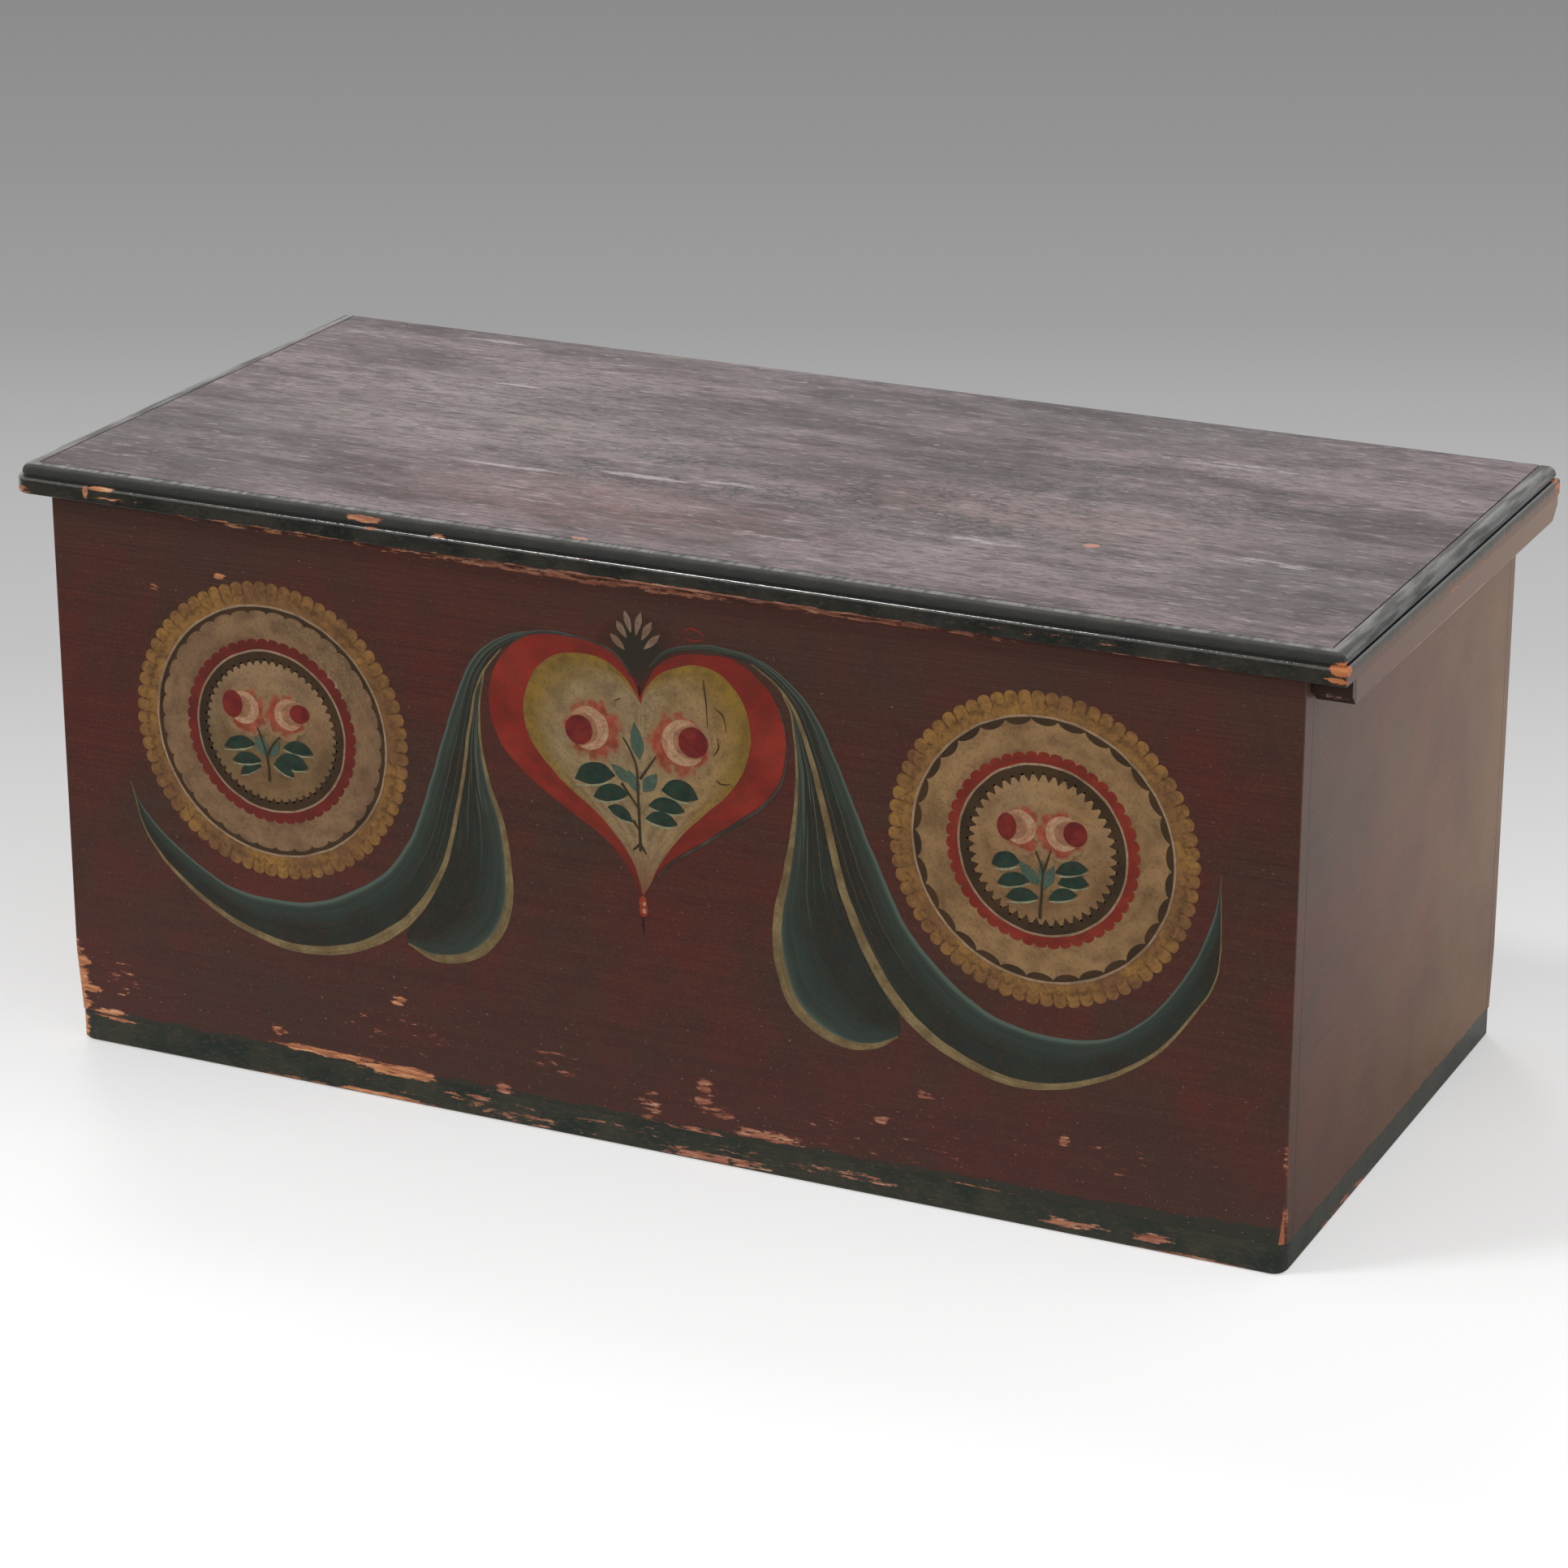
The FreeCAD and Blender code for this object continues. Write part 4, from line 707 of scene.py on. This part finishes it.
# Cream, warmer on the right wheel, with old varnish caught in specks on the upper right of the left.
cream, place = new_material("cream oil colour")
side = add("MapRange", add("SeparateXYZ", place).outputs["X"], -0.1, 0.1)
colour = coat_colour(place, add("MixRGB", side, "#8b6c52", "#a9855c"),
                     add("MixRGB", side, "#997958", "#95754f"), 40, (30, 4))
speckled = rubbed(place, on_front((-268, 366, 66, 60, 0.52, 20), (-300, 396, 50, 22, 0.5, 20)))
speck = add("Math MULTIPLY", flaked(place, speckled, (2.6, 2.6, 2.6), 0.73), 0.55)
colour = add("MixRGB", speck, colour, "#5a4a32")
bright = add("Math MULTIPLY", flaked(place, speckled, (2.6, 2.6, 2.6), 0.79), 0.32)
colour = add("MixRGB", bright, colour, "#c4a67e")
blotch = flaked(place, rubbed(place, on_front((-281, 350, 13, 16, 0.8, 20))), (5, 5, 5), 0.72)
colour = add("MixRGB", add("Math MULTIPLY", blotch, 0.5), colour, "#c09a8c")
finish(thinned(place, colour, 0.05), 0.45, specular=0.25)
coat("cream_fields", 2, cream, [(240, 3, band(middle, 60, 106.8)) for middle in WHEELS.values()])

# The discs are dirtier low down, where the sprigs stand.
disc_cream, place = new_material("cream oil colour of the discs")
axes = add("SeparateXYZ", place)
side = add("MapRange", axes.outputs["X"], -0.1, 0.1)
low = coat_colour(place, add("MixRGB", side, "#7c6646", "#98754f"), "#8d6d4b", 30, (9, 4))
high = coat_colour(place, add("MixRGB", side, "#a08262", "#b08a5c"), "#a98863", 30, (9, 4))
colour = tinted(low, high, axes.outputs["Z"], 0.28, 0.35)
finish(thinned(place, colour, 0.04), 0.45, specular=0.25)
coat("cream_discs", 2, disc_cream, [(240, 4, band(middle, 0, 64)) for middle in WHEELS.values()])

# Umber reads as dark drawn lines.
umber = oil_colour("umber oil colour", "#3b3024", "#4d3a27", 30, (30, 3), lost=0.02, dull=0.45)
coat("umber_rings", 3, umber, [(36 * 14, 2, band(WHEELS["left"], lobes(36, 99, 102, 0.5), 105)),
                               (30 * 14, 2, band(WHEELS["right"], lobes(30, 103.8, 99, 0.7), 105)),
                               (50 * 6, 2, band(WHEELS["left"], teeth(50, 56.5, 62), 67.5)),
                               (44 * 6, 2, band(WHEELS["right"], teeth(44, 54.5, 62), 67.5))])

# Vermilion that has darkened, more on the left wheel: a brick red with little gloss.
red, place = new_material("vermilion oil colour, darkened")
side = add("MapRange", add("SeparateXYZ", place).outputs["X"], -0.1, 0.1)
colour = coat_colour(place, add("MixRGB", side, "#6f2b27", "#983a2c"),
                     add("MixRGB", side, "#82302b", "#852e28"), 26, (30, 3))
finish(thinned(place, colour, 0.03), 0.42, specular=0.25)
coat("red_rings", 3, red, [(48 * 12, 2, band(WHEELS["left"], 68.5, lobes(48, 75.5, 78.5, 0.5))),
                           (46 * 12, 2, band(WHEELS["right"], 68.5, lobes(46, 75, 78.5, 0.5)))])

# A thin pale colour that lets the rings stand apart.
pale_line = oil_colour("pale line oil colour", "#9f8468", "#b69a7c", 30, (40, 1), lost=0.1, dull=0.45)
coat("pale_rings", 4, pale_line, [(240, 1, band(middle, radius, radius + 1.7))
                                  for middle in WHEELS.values() for radius in (67.4, 105.2)])


# === Painted heart =================================================================================
# Between the wheels stands a red heart that runs out to a long point, with a cream heart edged olive
# inside it. Both are brushed in oil colour, over a slate line that shades the edge.


def through(points):
    """A smooth line through the points, from 0 at the first to 1 at the last."""
    points = [Vector(point) for point in points]
    ends = [2 * points[0] - points[1]] + points + [2 * points[-1] - points[-2]]

    def on_line(t):
        t = min(max(t, 0.0), 1.0) * (len(points) - 1)
        first = min(int(t), len(points) - 2)
        t -= first
        a, b, c, d = ends[first:first + 4]
        return 0.5 * (2 * b + (c - a) * t + (2 * a - 5 * b + 4 * c - d) * t * t
                      + (3 * b - a - 3 * c + d) * t ** 3)
    return on_line


def between(one, other):
    """A ribbon from one line across to another."""
    first, second = through(one), through(other)
    return lambda u, v: first(u).lerp(second(u), v)


def stroke(points, widths):
    """A brush stroke along a smooth line, whose width follows the given widths."""
    line = through(points)
    width = through([(w, 0) for w in widths])

    def rule(u, v):
        middle = line(u)
        ahead = line(u + 0.01) - line(u - 0.01)
        side = Vector((-ahead.y, ahead.x)).normalized()
        return middle + side * (max(width(u).x, 0.0) * (v - 0.5))
    return rule


HEART_LEFT = [(-3.5, 382.5), (-9.7, 398.4), (-22.8, 413.4), (-41.6, 421.3), (-71.6, 423.7),
              (-101.6, 419.1), (-124.1, 400.3), (-135.3, 374), (-134.4, 349.7), (-126, 327.1),
              (-111, 310.3), (-88.4, 293.4), (-60.3, 276.5), (-37.8, 263.4), (-22.8, 250.2),
              (-13.4, 237.1), (-6.8, 222.1), (-2.5, 214)]
HEART_RIGHT = [(-3.5, 382.5), (1.6, 392.8), (11, 409.7), (27.9, 420.9), (52.2, 425.6), (76.6, 424.7),
               (99.1, 411.6), (114.1, 392.8), (120.7, 370.3), (119.8, 345.9), (112.3, 325.3),
               (95.4, 306.5), (71, 287.8), (48.5, 270.9), (29.7, 257.7), (14.7, 244.6), (5.3, 229.6),
               (-2.5, 214)]
HEART_MIDDLE = [(-3.5, 382.5), (-3.2, 340), (-2.8, 280), (-2.5, 214)]
CREAM_LEFT = [(-2.5, 377.8), (-7.8, 387.2), (-17.2, 398.4), (-32.2, 408.7), (-52.8, 411.9),
              (-75.3, 407.8), (-94.1, 392.8), (-103.5, 372.2), (-105.3, 353.4), (-99.7, 334.6),
              (-84.7, 315.9), (-65.9, 299), (-41.6, 282.1), (-24.7, 265.2), (-13.4, 250.2),
              (-6.8, 235.2), (-2.2, 219)]
CREAM_RIGHT = [(-2.5, 377.8), (1.6, 390.9), (11, 402.2), (26, 410.6), (44.7, 416.2), (63.5, 412.5),
               (80.4, 398.4), (89.8, 377.8), (90.7, 353.4), (84.1, 332.8), (71, 314), (52.2, 295.3),
               (33.5, 276.5), (20.4, 259.6), (11, 244.6), (4.4, 229.6), (-2.2, 219)]
CREAM_MIDDLE = [(-2.5, 377.8), (-2.4, 330), (-2.3, 280), (-2.2, 219)]

# Red lake over vermilion: a deep warm red that darkens towards the point.
heart_red, place = new_material("red lake oil colour")
height = add("SeparateXYZ", place).outputs["Z"]
colour = coat_colour(place, "#8c2f29", "#a13a2e", 40, (16, 5))
colour = tinted(colour, "#5c2a24", height, 0.30, 0.22, 0.8)
finish(thinned(place, colour, 0.02), 0.4, specular=0.25)
coat("red_heart", 2, heart_red, [(90, 6, between(HEART_MIDDLE, HEART_LEFT)),
                                 (90, 6, between(HEART_MIDDLE, HEART_RIGHT))])

# A grey between the red and the ground, worn thin.
slate = oil_colour("slate oil colour", "#3c3c38", "#55564f", 20, (9, 2), lost=0.1)
heart_right_line = stroke([(x + 1.0, z - 1.2) for x, z in HEART_RIGHT[7:-1]],
                          [0.6, 1.6, 2.2, 2.6, 2.2, 1.6, 0.6])
heart_left_line = stroke([(x - 0.5, z + 1.2) for x, z in HEART_LEFT[1:7]], [2.4, 1.8, 1.4, 1.2, 0.8])
coat("heart_line", 2.5, slate, [(60, 1, heart_right_line), (60, 1, heart_left_line)])

# Cream brushed out thin, so that it greys; the olive is blended in along its edge while wet.
heart_cream, place = new_material("cream oil colour, edged olive")
side = add("MapRange", add("SeparateXYZ", place).outputs["X"], 0.0, 0.07)
colour = coat_colour(place, add("MixRGB", side, "#9c8460", "#b18c59"),
                     add("MixRGB", side, "#a88e68", "#a6865a"), 30, (14, 7))
brush = add("SeparateXYZ", add("UVMap", uv_map="brush"))
edge = add("MapRange", brush.outputs["Y"], 0.70, 0.93, 0.0, 0.95)
edge = add("Math MULTIPLY", edge, add("MapRange", brush.outputs["X"], 0.85, 0.6))
colour = add("MixRGB", edge, colour, coat_colour(place, "#9a7a34", "#8c7036", 18, (30, 6)))
colour = tinted(colour, "#7a4f38", brush.outputs["X"], 0.78, 0.98, 0.85)
finish(thinned(place, colour, 0.02), 0.42, specular=0.25)
coat("cream_heart", 3, heart_cream, [(90, 12, between(CREAM_MIDDLE, CREAM_LEFT)),
                                     (90, 12, between(CREAM_MIDDLE, CREAM_RIGHT))])


# === Plumes ========================================================================================
# Two long blue-green scrolls sweep out of the heart and up under the wheels, each with a drooping
# leaf beside it. They are edged in olive ochre and lit with a lighter stroke.

LEFT_UPPER = [(-34, 419), (-62, 426), (-89.4, 425), (-120.8, 416.5), (-148.2, 395.9), (-163.9, 364.5),
              (-177.6, 325.3), (-191.4, 282.2), (-207.1, 239), (-230.6, 203.7), (-262, 180.2),
              (-301.2, 162.5), (-340.4, 158.6), (-379.6, 162.5), (-414.9, 180.2), (-442.4, 199.8),
              (-462, 219.4), (-472, 240)]
LEFT_LOWER = [(-34, 417), (-60, 422), (-92, 420.5), (-124.7, 405), (-144.3, 377), (-154.1, 337.1),
              (-160, 297.8), (-167.8, 258.6), (-179.6, 215.5), (-199.2, 180.2), (-226.7, 150.8),
              (-269.8, 127.2), (-316.9, 119.4), (-356.1, 125.3), (-395.3, 141), (-434.5, 168.4),
              (-460, 199.8), (-472, 240)]
LEFT_LEAF = [(-140, 385), (-145, 350), (-143.5, 320), (-136.5, 286.1), (-126.7, 258.6), (-121.6, 219.4),
             (-122.7, 188), (-134.5, 160.6), (-156.1, 141), (-187.5, 133.1), (-214.9, 141)]
LEFT_LEAF_INNER = [(-142, 385), (-153.5, 337.1), (-158, 297.8), (-163, 275), (-167.8, 258.6),
                   (-172, 240), (-179.6, 215.5), (-188, 198), (-199.2, 180.2), (-208, 165), (-217, 150)]
RIGHT_UPPER = [(5, 410), (22, 426), (59.6, 434), (98.8, 428), (126.3, 411.6), (145.9, 390),
               (161.6, 360.6), (177.3, 325.3), (196.9, 282.2), (220.4, 235.1), (243.9, 207.6),
               (271.4, 184.1), (302.7, 168.4), (342, 162.5), (381.2, 166.5), (412.5, 184.1),
               (440, 215.5), (459.6, 250.8), (471.4, 286.1), (475.3, 315)]
RIGHT_LOWER = [(5, 408), (22, 422), (58, 429), (92, 424), (114.5, 409), (130, 388), (143, 352.7),
               (155.7, 305.7), (167.5, 258.6), (185.1, 215.5), (208.6, 176.3), (236.1, 148.8),
               (267.5, 131.2), (306.7, 119.4), (345.9, 121.4), (389, 137.1), (428.2, 164.5),
               (455.7, 199.8), (475.3, 239), (475.3, 315)]
RIGHT_LEAF = [(118, 404), (126.3, 385), (130.2, 341), (128.2, 301.8), (122.4, 262.5), (114.5, 223.3),
              (114.5, 192), (124.3, 156.7), (142, 137.1), (169.4, 125.3), (196.9, 127.3), (216.5, 139)]
RIGHT_LEAF_INNER = [(120, 404), (131, 385), (143, 352.7), (151, 322), (158, 290), (166, 262), (176, 235),
                    (186, 213), (197, 194), (208.6, 176.3), (216, 162), (219, 145)]

# Blue-green over black, thinned along each stroke: dark at the root of the brush and lit at its edge.
plume, place = new_material("blue-green oil colour")
colour = coat_colour(place, "#2f302b", "#2c3833", 34, (10, 24))
sheet = add("UVMap", uv_map="brush")
brush = add("SeparateXYZ", sheet)
lit = add("MapRange", brush.outputs["Y"], 0.45, 0.98)
bristles = add("TexNoise", add("VectorMath MULTIPLY", sheet, (7, 14, 1)), Scale=1.0, Detail=3.0)
lit = add("Math MULTIPLY", lit, add("MapRange", bristles, 0.3, 0.6, 0.35, 0.9))
colour = add("MixRGB", lit, colour, "#44524a")
# Pale bristle lines where the scrolls leave the heart.
hairs = add("TexNoise", add("VectorMath MULTIPLY", sheet, (2.5, 22, 1)), Scale=1.0, Detail=2.0)
hairs = add("Math MULTIPLY", add("MapRange", hairs, 0.56, 0.62),
            add("MapRange", brush.outputs["X"], 0.55, 0.2))
colour = add("MixRGB", add("Math MULTIPLY", hairs, 0.7), colour, "#7c8270")
colour = add("MixRGB", within(brush.outputs["Y"], 0.95, 0.99, 0.05), colour, "#5c6a60")
finish(thinned(place, colour, 0.03), 0.42, specular=0.25)
coat("plumes", 1, plume, [(120, 8, between(LEFT_LOWER, LEFT_UPPER)),
                          (120, 8, between(RIGHT_LOWER, RIGHT_UPPER)),
                          (70, 8, between(LEFT_LEAF_INNER, LEFT_LEAF)),
                          (70, 8, between(RIGHT_LEAF_INNER, RIGHT_LEAF))])

# Olive ochre edges, ridged by the brush and rubbed through in places.
olive = oil_colour("olive ochre oil colour", "#7c6947", "#97835c", 18, (9, 8), lost=0.12, dull=0.45)
coat("olive_edges", 2, olive, [
    (110, 2, stroke(LEFT_LOWER[3:], [1, 1.8, 2.4, 3, 3.6, 4.6, 7, 8.5, 8, 7, 6, 4.6, 3, 1.4, 0.4])),
    (110, 2, stroke(RIGHT_LOWER[3:],
                    [1, 1.8, 2.8, 4.4, 5.6, 6.6, 8, 8.6, 8.6, 8, 7, 5.4, 4, 3, 2, 1.2, 0.4])),
    (60, 2, stroke(LEFT_LEAF, [1.2, 1.6, 2.4, 3.4, 5, 6, 7, 8, 8, 6.5, 1])),
    (60, 2, stroke(RIGHT_LEAF, [1, 1.4, 2.2, 3.6, 6, 7.4, 8.4, 9, 8.5, 7, 4.6, 1])),
])


# === Fan above the heart ===========================================================================
# Six tan petals spring from the cleft of the heart, each one dab of the brush, on a patch of thin
# dark green that fades out into the ground.

# Green let down with oil: it only darkens the oxblood, and has no edge.
green_ground, place = new_material("thin dark green oil colour")
ground = oxblood_colour(place, (160, 7, 7))
brush = add("SeparateXYZ", add("UVMap", uv_map="brush"))
ragged = add("TexNoise", place, Scale=METRE / 12, Detail=4.0)
fade = add("MapRange", add("Math MULTIPLY_ADD", ragged, 0.5, brush.outputs["Y"]), 1.2, 0.7)
finish(add("MixRGB", fade, ground, "#3a342b"), 0.42, specular=0.25)


def patch_rule(u, v):
    """An uneven round patch, deeper below than above, drawn as a ring that closes on its middle."""
    across, up = math.cos(2 * math.pi * u), math.sin(2 * math.pi * u)
    return -5 + 36 * v * across, 424 + (26 + 14 * (up < 0)) * v * up


coat("green_patch", 0.5, green_ground, [(48, 6, patch_rule)])

# Dry dabs that thin out along the brush.
tan = oil_colour("tan oil colour", "#97806a", "#8a6e58", 12, (3, 6), lost=0.07, dull=0.45)
PETALS = [((-16.2, 420), (-28, 431.3)), ((-14.4, 430), (-22.8, 442.5)), ((-10.5, 435), (-15.7, 452)),
          ((-6, 433), (-1.8, 452.5)), ((-1.2, 430), (7.2, 445.5)), ((0.6, 423), (14.2, 436.5))]
coat("fan_petals", 3, tan, [(14, 4, stroke([root, tip], [0.8, 4.6, 5.4, 0.5])) for root, tip in PETALS])


# === Rose sprigs ===================================================================================
# A sprig with two open roses in the heart and in each wheel: salmon petals, a pink crescent and a
# dark red eye to each rose, dark green leaves, and lighter leaves at the fork of the stem.

# Each rose: its eye (middle, half width, half height) and its crescent (middle, radius), which opens
# towards the eye. Each leaf: tip, foot and width. Each stem: its points.
SPRIGS = [
    dict(petals=10,
         roses=[((-56.6, 348.7), 12, 12.2, (-48.5, 351.2), 17.8),
                ((42.3, 353), 12.6, 12.6, (34.4, 351.5), 19)],
         dark=[((-60.5, 307.4), (-25.5, 315.5), 17), ((-44.5, 295), (-14.5, 301.5), 13),
               ((-32, 289), (-10.5, 279.5), 9.5), ((46.2, 307), (14.7, 310), 16),
               ((34.5, 295), (3.5, 295.5), 12), ((28, 283), (0.7, 284), 11)],
         light=[((-8.5, 362), (-4, 332), 11), ((-29, 325), (-11, 311), 9), ((11, 322), (-1, 306), 11),
                ((-14, 322), (-5, 304), 9)],
         stems=[[(-4, 256), (-5, 285), (-6.8, 323), (-11.5, 338), (-18, 348)],
                [(-4, 316), (3.5, 327), (10, 336.5)], [(-4, 262), (-10.5, 256)],
                [(-4, 262), (1.6, 254)], [(-20, 310), (-12, 300), (-4, 290)], [(-10, 281), (-5, 273)]]),
    dict(petals=7.5,
         roses=[((-371.2, 323), 9.5, 11.5, (-361, 321), 14), ((-309.2, 323), 9, 8, (-319, 321), 13.5)],
         dark=[((-380.5, 285.6), (-352, 291.5), 10.5), ((-373, 274.4), (-347, 278), 9.5),
               ((-366, 264), (-347, 273.5), 8), ((-297.5, 290.8), (-325, 292.5), 10.5),
               ((-302.5, 278), (-333, 279.5), 13), ((-316, 268.5), (-335, 277), 8)],
         light=[((-352, 298), (-342, 283), 8), ((-328, 297), (-338, 283), 8),
                ((-345, 300), (-341, 280), 7)],
         stems=[[(-339.5, 261), (-340, 275), (-342, 288), (-348.8, 306)],
                [(-340, 283), (-335, 292), (-328, 301)]]),
    dict(petals=7.5,
         roses=[((304.1, 327), 8, 10.8, (314, 328), 13.5), ((359.3, 329), 9.6, 10, (349.5, 328), 14)],
         dark=[((292.6, 294.5), (315, 299.6), 13), ((297, 280), (323.5, 286), 10.5),
               ((304.6, 269.6), (330.4, 274), 10.5), ((370, 303), (344, 296), 10.5),
               ((370.8, 291), (346, 287.5), 11.5), ((362, 280.7), (339, 274), 9.5)],
         light=[((314, 301), (330.4, 284), 10), ((343, 302), (336, 282), 8),
                ((333, 304), (335, 280), 8)],
         stems=[[(332.5, 257), (333, 277), (334, 294.5), (328, 310.8)],
                [(334, 294.5), (336, 300), (340, 313)]]),
]


def oval(middle, across, up):
    """A filled oval, drawn as a ring that closes on its middle."""
    return lambda u, v: (middle[0] + across * v * math.cos(2 * math.pi * u),
                         middle[1] + up * v * math.sin(2 * math.pi * u))


def sickle(middle, radius, away):
    """A crescent along the side of a circle that faces `away` (a unit vector)."""
    turn = math.atan2(away[1], away[0])

    def rule(u, v):
        angle = turn + (u - 0.5) * math.radians(265)
        thick = 0.52 * radius * math.sin(math.pi * u) ** 0.6
        reach = radius - thick * (1 - v)
        return middle[0] + reach * math.cos(angle), middle[1] + reach * math.sin(angle)
    return rule


petals, blushes, sickles, eyes, dark_leaves, veins, light_leaves, stems = ([] for _ in range(8))
for sprig in SPRIGS:
    for eye, wide, high, middle, radius in sprig["roses"]:
        away = (Vector(middle) - Vector(eye)).normalized()
        heart = Vector(middle) + 0.45 * sprig["petals"] * away + Vector((0, -1.5))
        rim = lobes(7, radius + 0.55 * sprig["petals"], radius + sprig["petals"])
        petals.append((84, 6, band(heart, 0, rim)))
        blushes.append((32, 3, oval(middle, 0.96 * radius, 0.96 * radius)))
        sickles.append((40, 4, sickle(middle, radius, away)))
        eyes.append((32, 4, oval(eye, wide, high)))
    for tip, foot, wide in sprig["dark"]:
        bend = Vector(((tip[0] + foot[0]) / 2, (tip[1] + foot[1]) / 2 + wide * 0.22))
        dark_leaves.append((24, 4, stroke([foot, bend, tip],
                                          [1, 0.85 * wide, 1.05 * wide, 0.9 * wide, 0.8])))
        # A pale stroke under each leaf.
        below = Vector((0, -0.60 * wide))
        vein = [Vector(foot) + 0.4 * below, bend + below, Vector(tip) + 0.5 * below]
        veins.append((16, 1, stroke(vein, [0.6, 2.3, 2.0, 0.4])))
    for tip, foot, wide in sprig["light"]:
        light_leaves.append((20, 4, stroke([foot, tip], [1, wide, wide * 0.8, 0.6])))
    stems += [(24, 1, stroke(points, [2.6, 2.0, 1.6, 1.2])) for points in sprig["stems"]]

# Salmon, put on thin: it wears out to the cream at the rim of each petal.
salmon, place = new_material("salmon oil colour")
colour = coat_colour(place, "#a84a38", "#b5634a", 8, (14, 2))
rim = add("SeparateXYZ", add("UVMap", uv_map="brush")).outputs["Y"]
ragged = add("TexNoise", place, Scale=METRE / 7, Detail=4.0)
thin = add("MapRange", add("Math MULTIPLY_ADD", ragged, 0.9, rim), 1.2, 1.42)
finish(add("MixRGB", thin, colour, "#9a7f5c"), 0.42, specular=0.25)
coat("rose_petals", 4, salmon, petals)

# Thick pale dabs with the curve of the brush in them.
pink = oil_colour("pink oil colour", "#c28f6c", "#cfa682", 8, (5, 9))
coat("rose_crescents", 5, pink, sickles)

# The same dab, dulled by what lies under it.
blush = oil_colour("dull pink oil colour", "#a5765b", "#b3815f", 8, (5, 9))
coat("rose_hearts", 4.5, blush, blushes)

# A glaze of lake: dark, a little glossier.
crimson = oil_colour("crimson lake oil colour", "#75262a", "#8e332d", 8, (5, 4), dull=0.4)
coat("rose_eyes", 6, crimson, eyes)

# Pale green with white in it, flat and opaque.
sea_green = oil_colour("sea green oil colour", "#4d6656", "#5b7062", 10, (4, 8))
coat("light_leaves", 4.8, sea_green, light_leaves)

# Thin light strokes that set off the leaves.
pale_green = oil_colour("pale green oil colour", "#9b9878", "#aba481", 10, (4, 2))
coat("leaf_edges", 5, pale_green, veins)

# A deep green that goes nearly black.
bottle_green = oil_colour("bottle green oil colour", "#1f3a31", "#2b473c", 10, (4, 8))
coat("dark_leaves", 5.5, bottle_green, dark_leaves)

# A dull dark line.
stem_brown = oil_colour("brown green oil colour", "#3a3424", "#453d29", 10, (4, 2), dull=0.45)
coat("stems", 6.2, stem_brown, stems)


# === Bead under the heart ==========================================================================
# Two dabs of orange oil colour with pale lights close the heart's point, over a dark tail. The tail's
# colour also draws the few fine scratches, and the red a stroke that was left of a lost curl.

# Nearly as dark as the ground.
tail_brown = oil_colour("dark brown oil colour", "#2c1c1a", "#3a2620", 10, (4, 2), dull=0.45)
coat("bead_tail", 3, tail_brown, [(12, 1, stroke([(-2.2, 205), (-2.6, 196), (-1.6, 186)],
                                                 [2.4, 2.2, 0.8]))])

SCRATCHES = [((51.3, 405), (53.8, 386), (55, 367)), ((61, 384), (68, 378), (71, 366)),
             ((61.6, 325), (67, 322.5), (73.8, 324)), ((-20, 380), (-26, 377)),
             ((-3.4, 392), (-3.6, 384)), ((60, 345), (64, 352), (63, 360))]
coat("scratches", 7, tail_brown, [(16, 1, stroke(points, [0.3, 0.8, 0.6, 0.2])) for points in SCRATCHES])

# A warm dab, thicker and a little glossier than the rest.
orange = oil_colour("orange oil colour", "#9c3a2b", "#ad4a34", 6, (4, 4), dull=0.4)
coat("orange_bead", 4, orange, [(24, 3, oval((-2, 212.5), 3.6, 6)), (24, 3, oval((-1.8, 206), 3.8, 5))])
coat("bead_lights", 5, pink, [(16, 2, oval((-1.4, 212), 1.5, 1.7)),
                              (16, 2, oval((-1.2, 206), 1.7, 2.2))])
coat("lost_curl", 2, heart_red, [(20, 1, stroke([(34, 441), (40, 445), (49, 443), (52, 440)],
                                                [0.5, 1.5, 1.2, 0.4])),
                                 (20, 1, stroke([(35, 438), (42, 435), (51, 438)], [0.4, 1.3, 0.5]))])
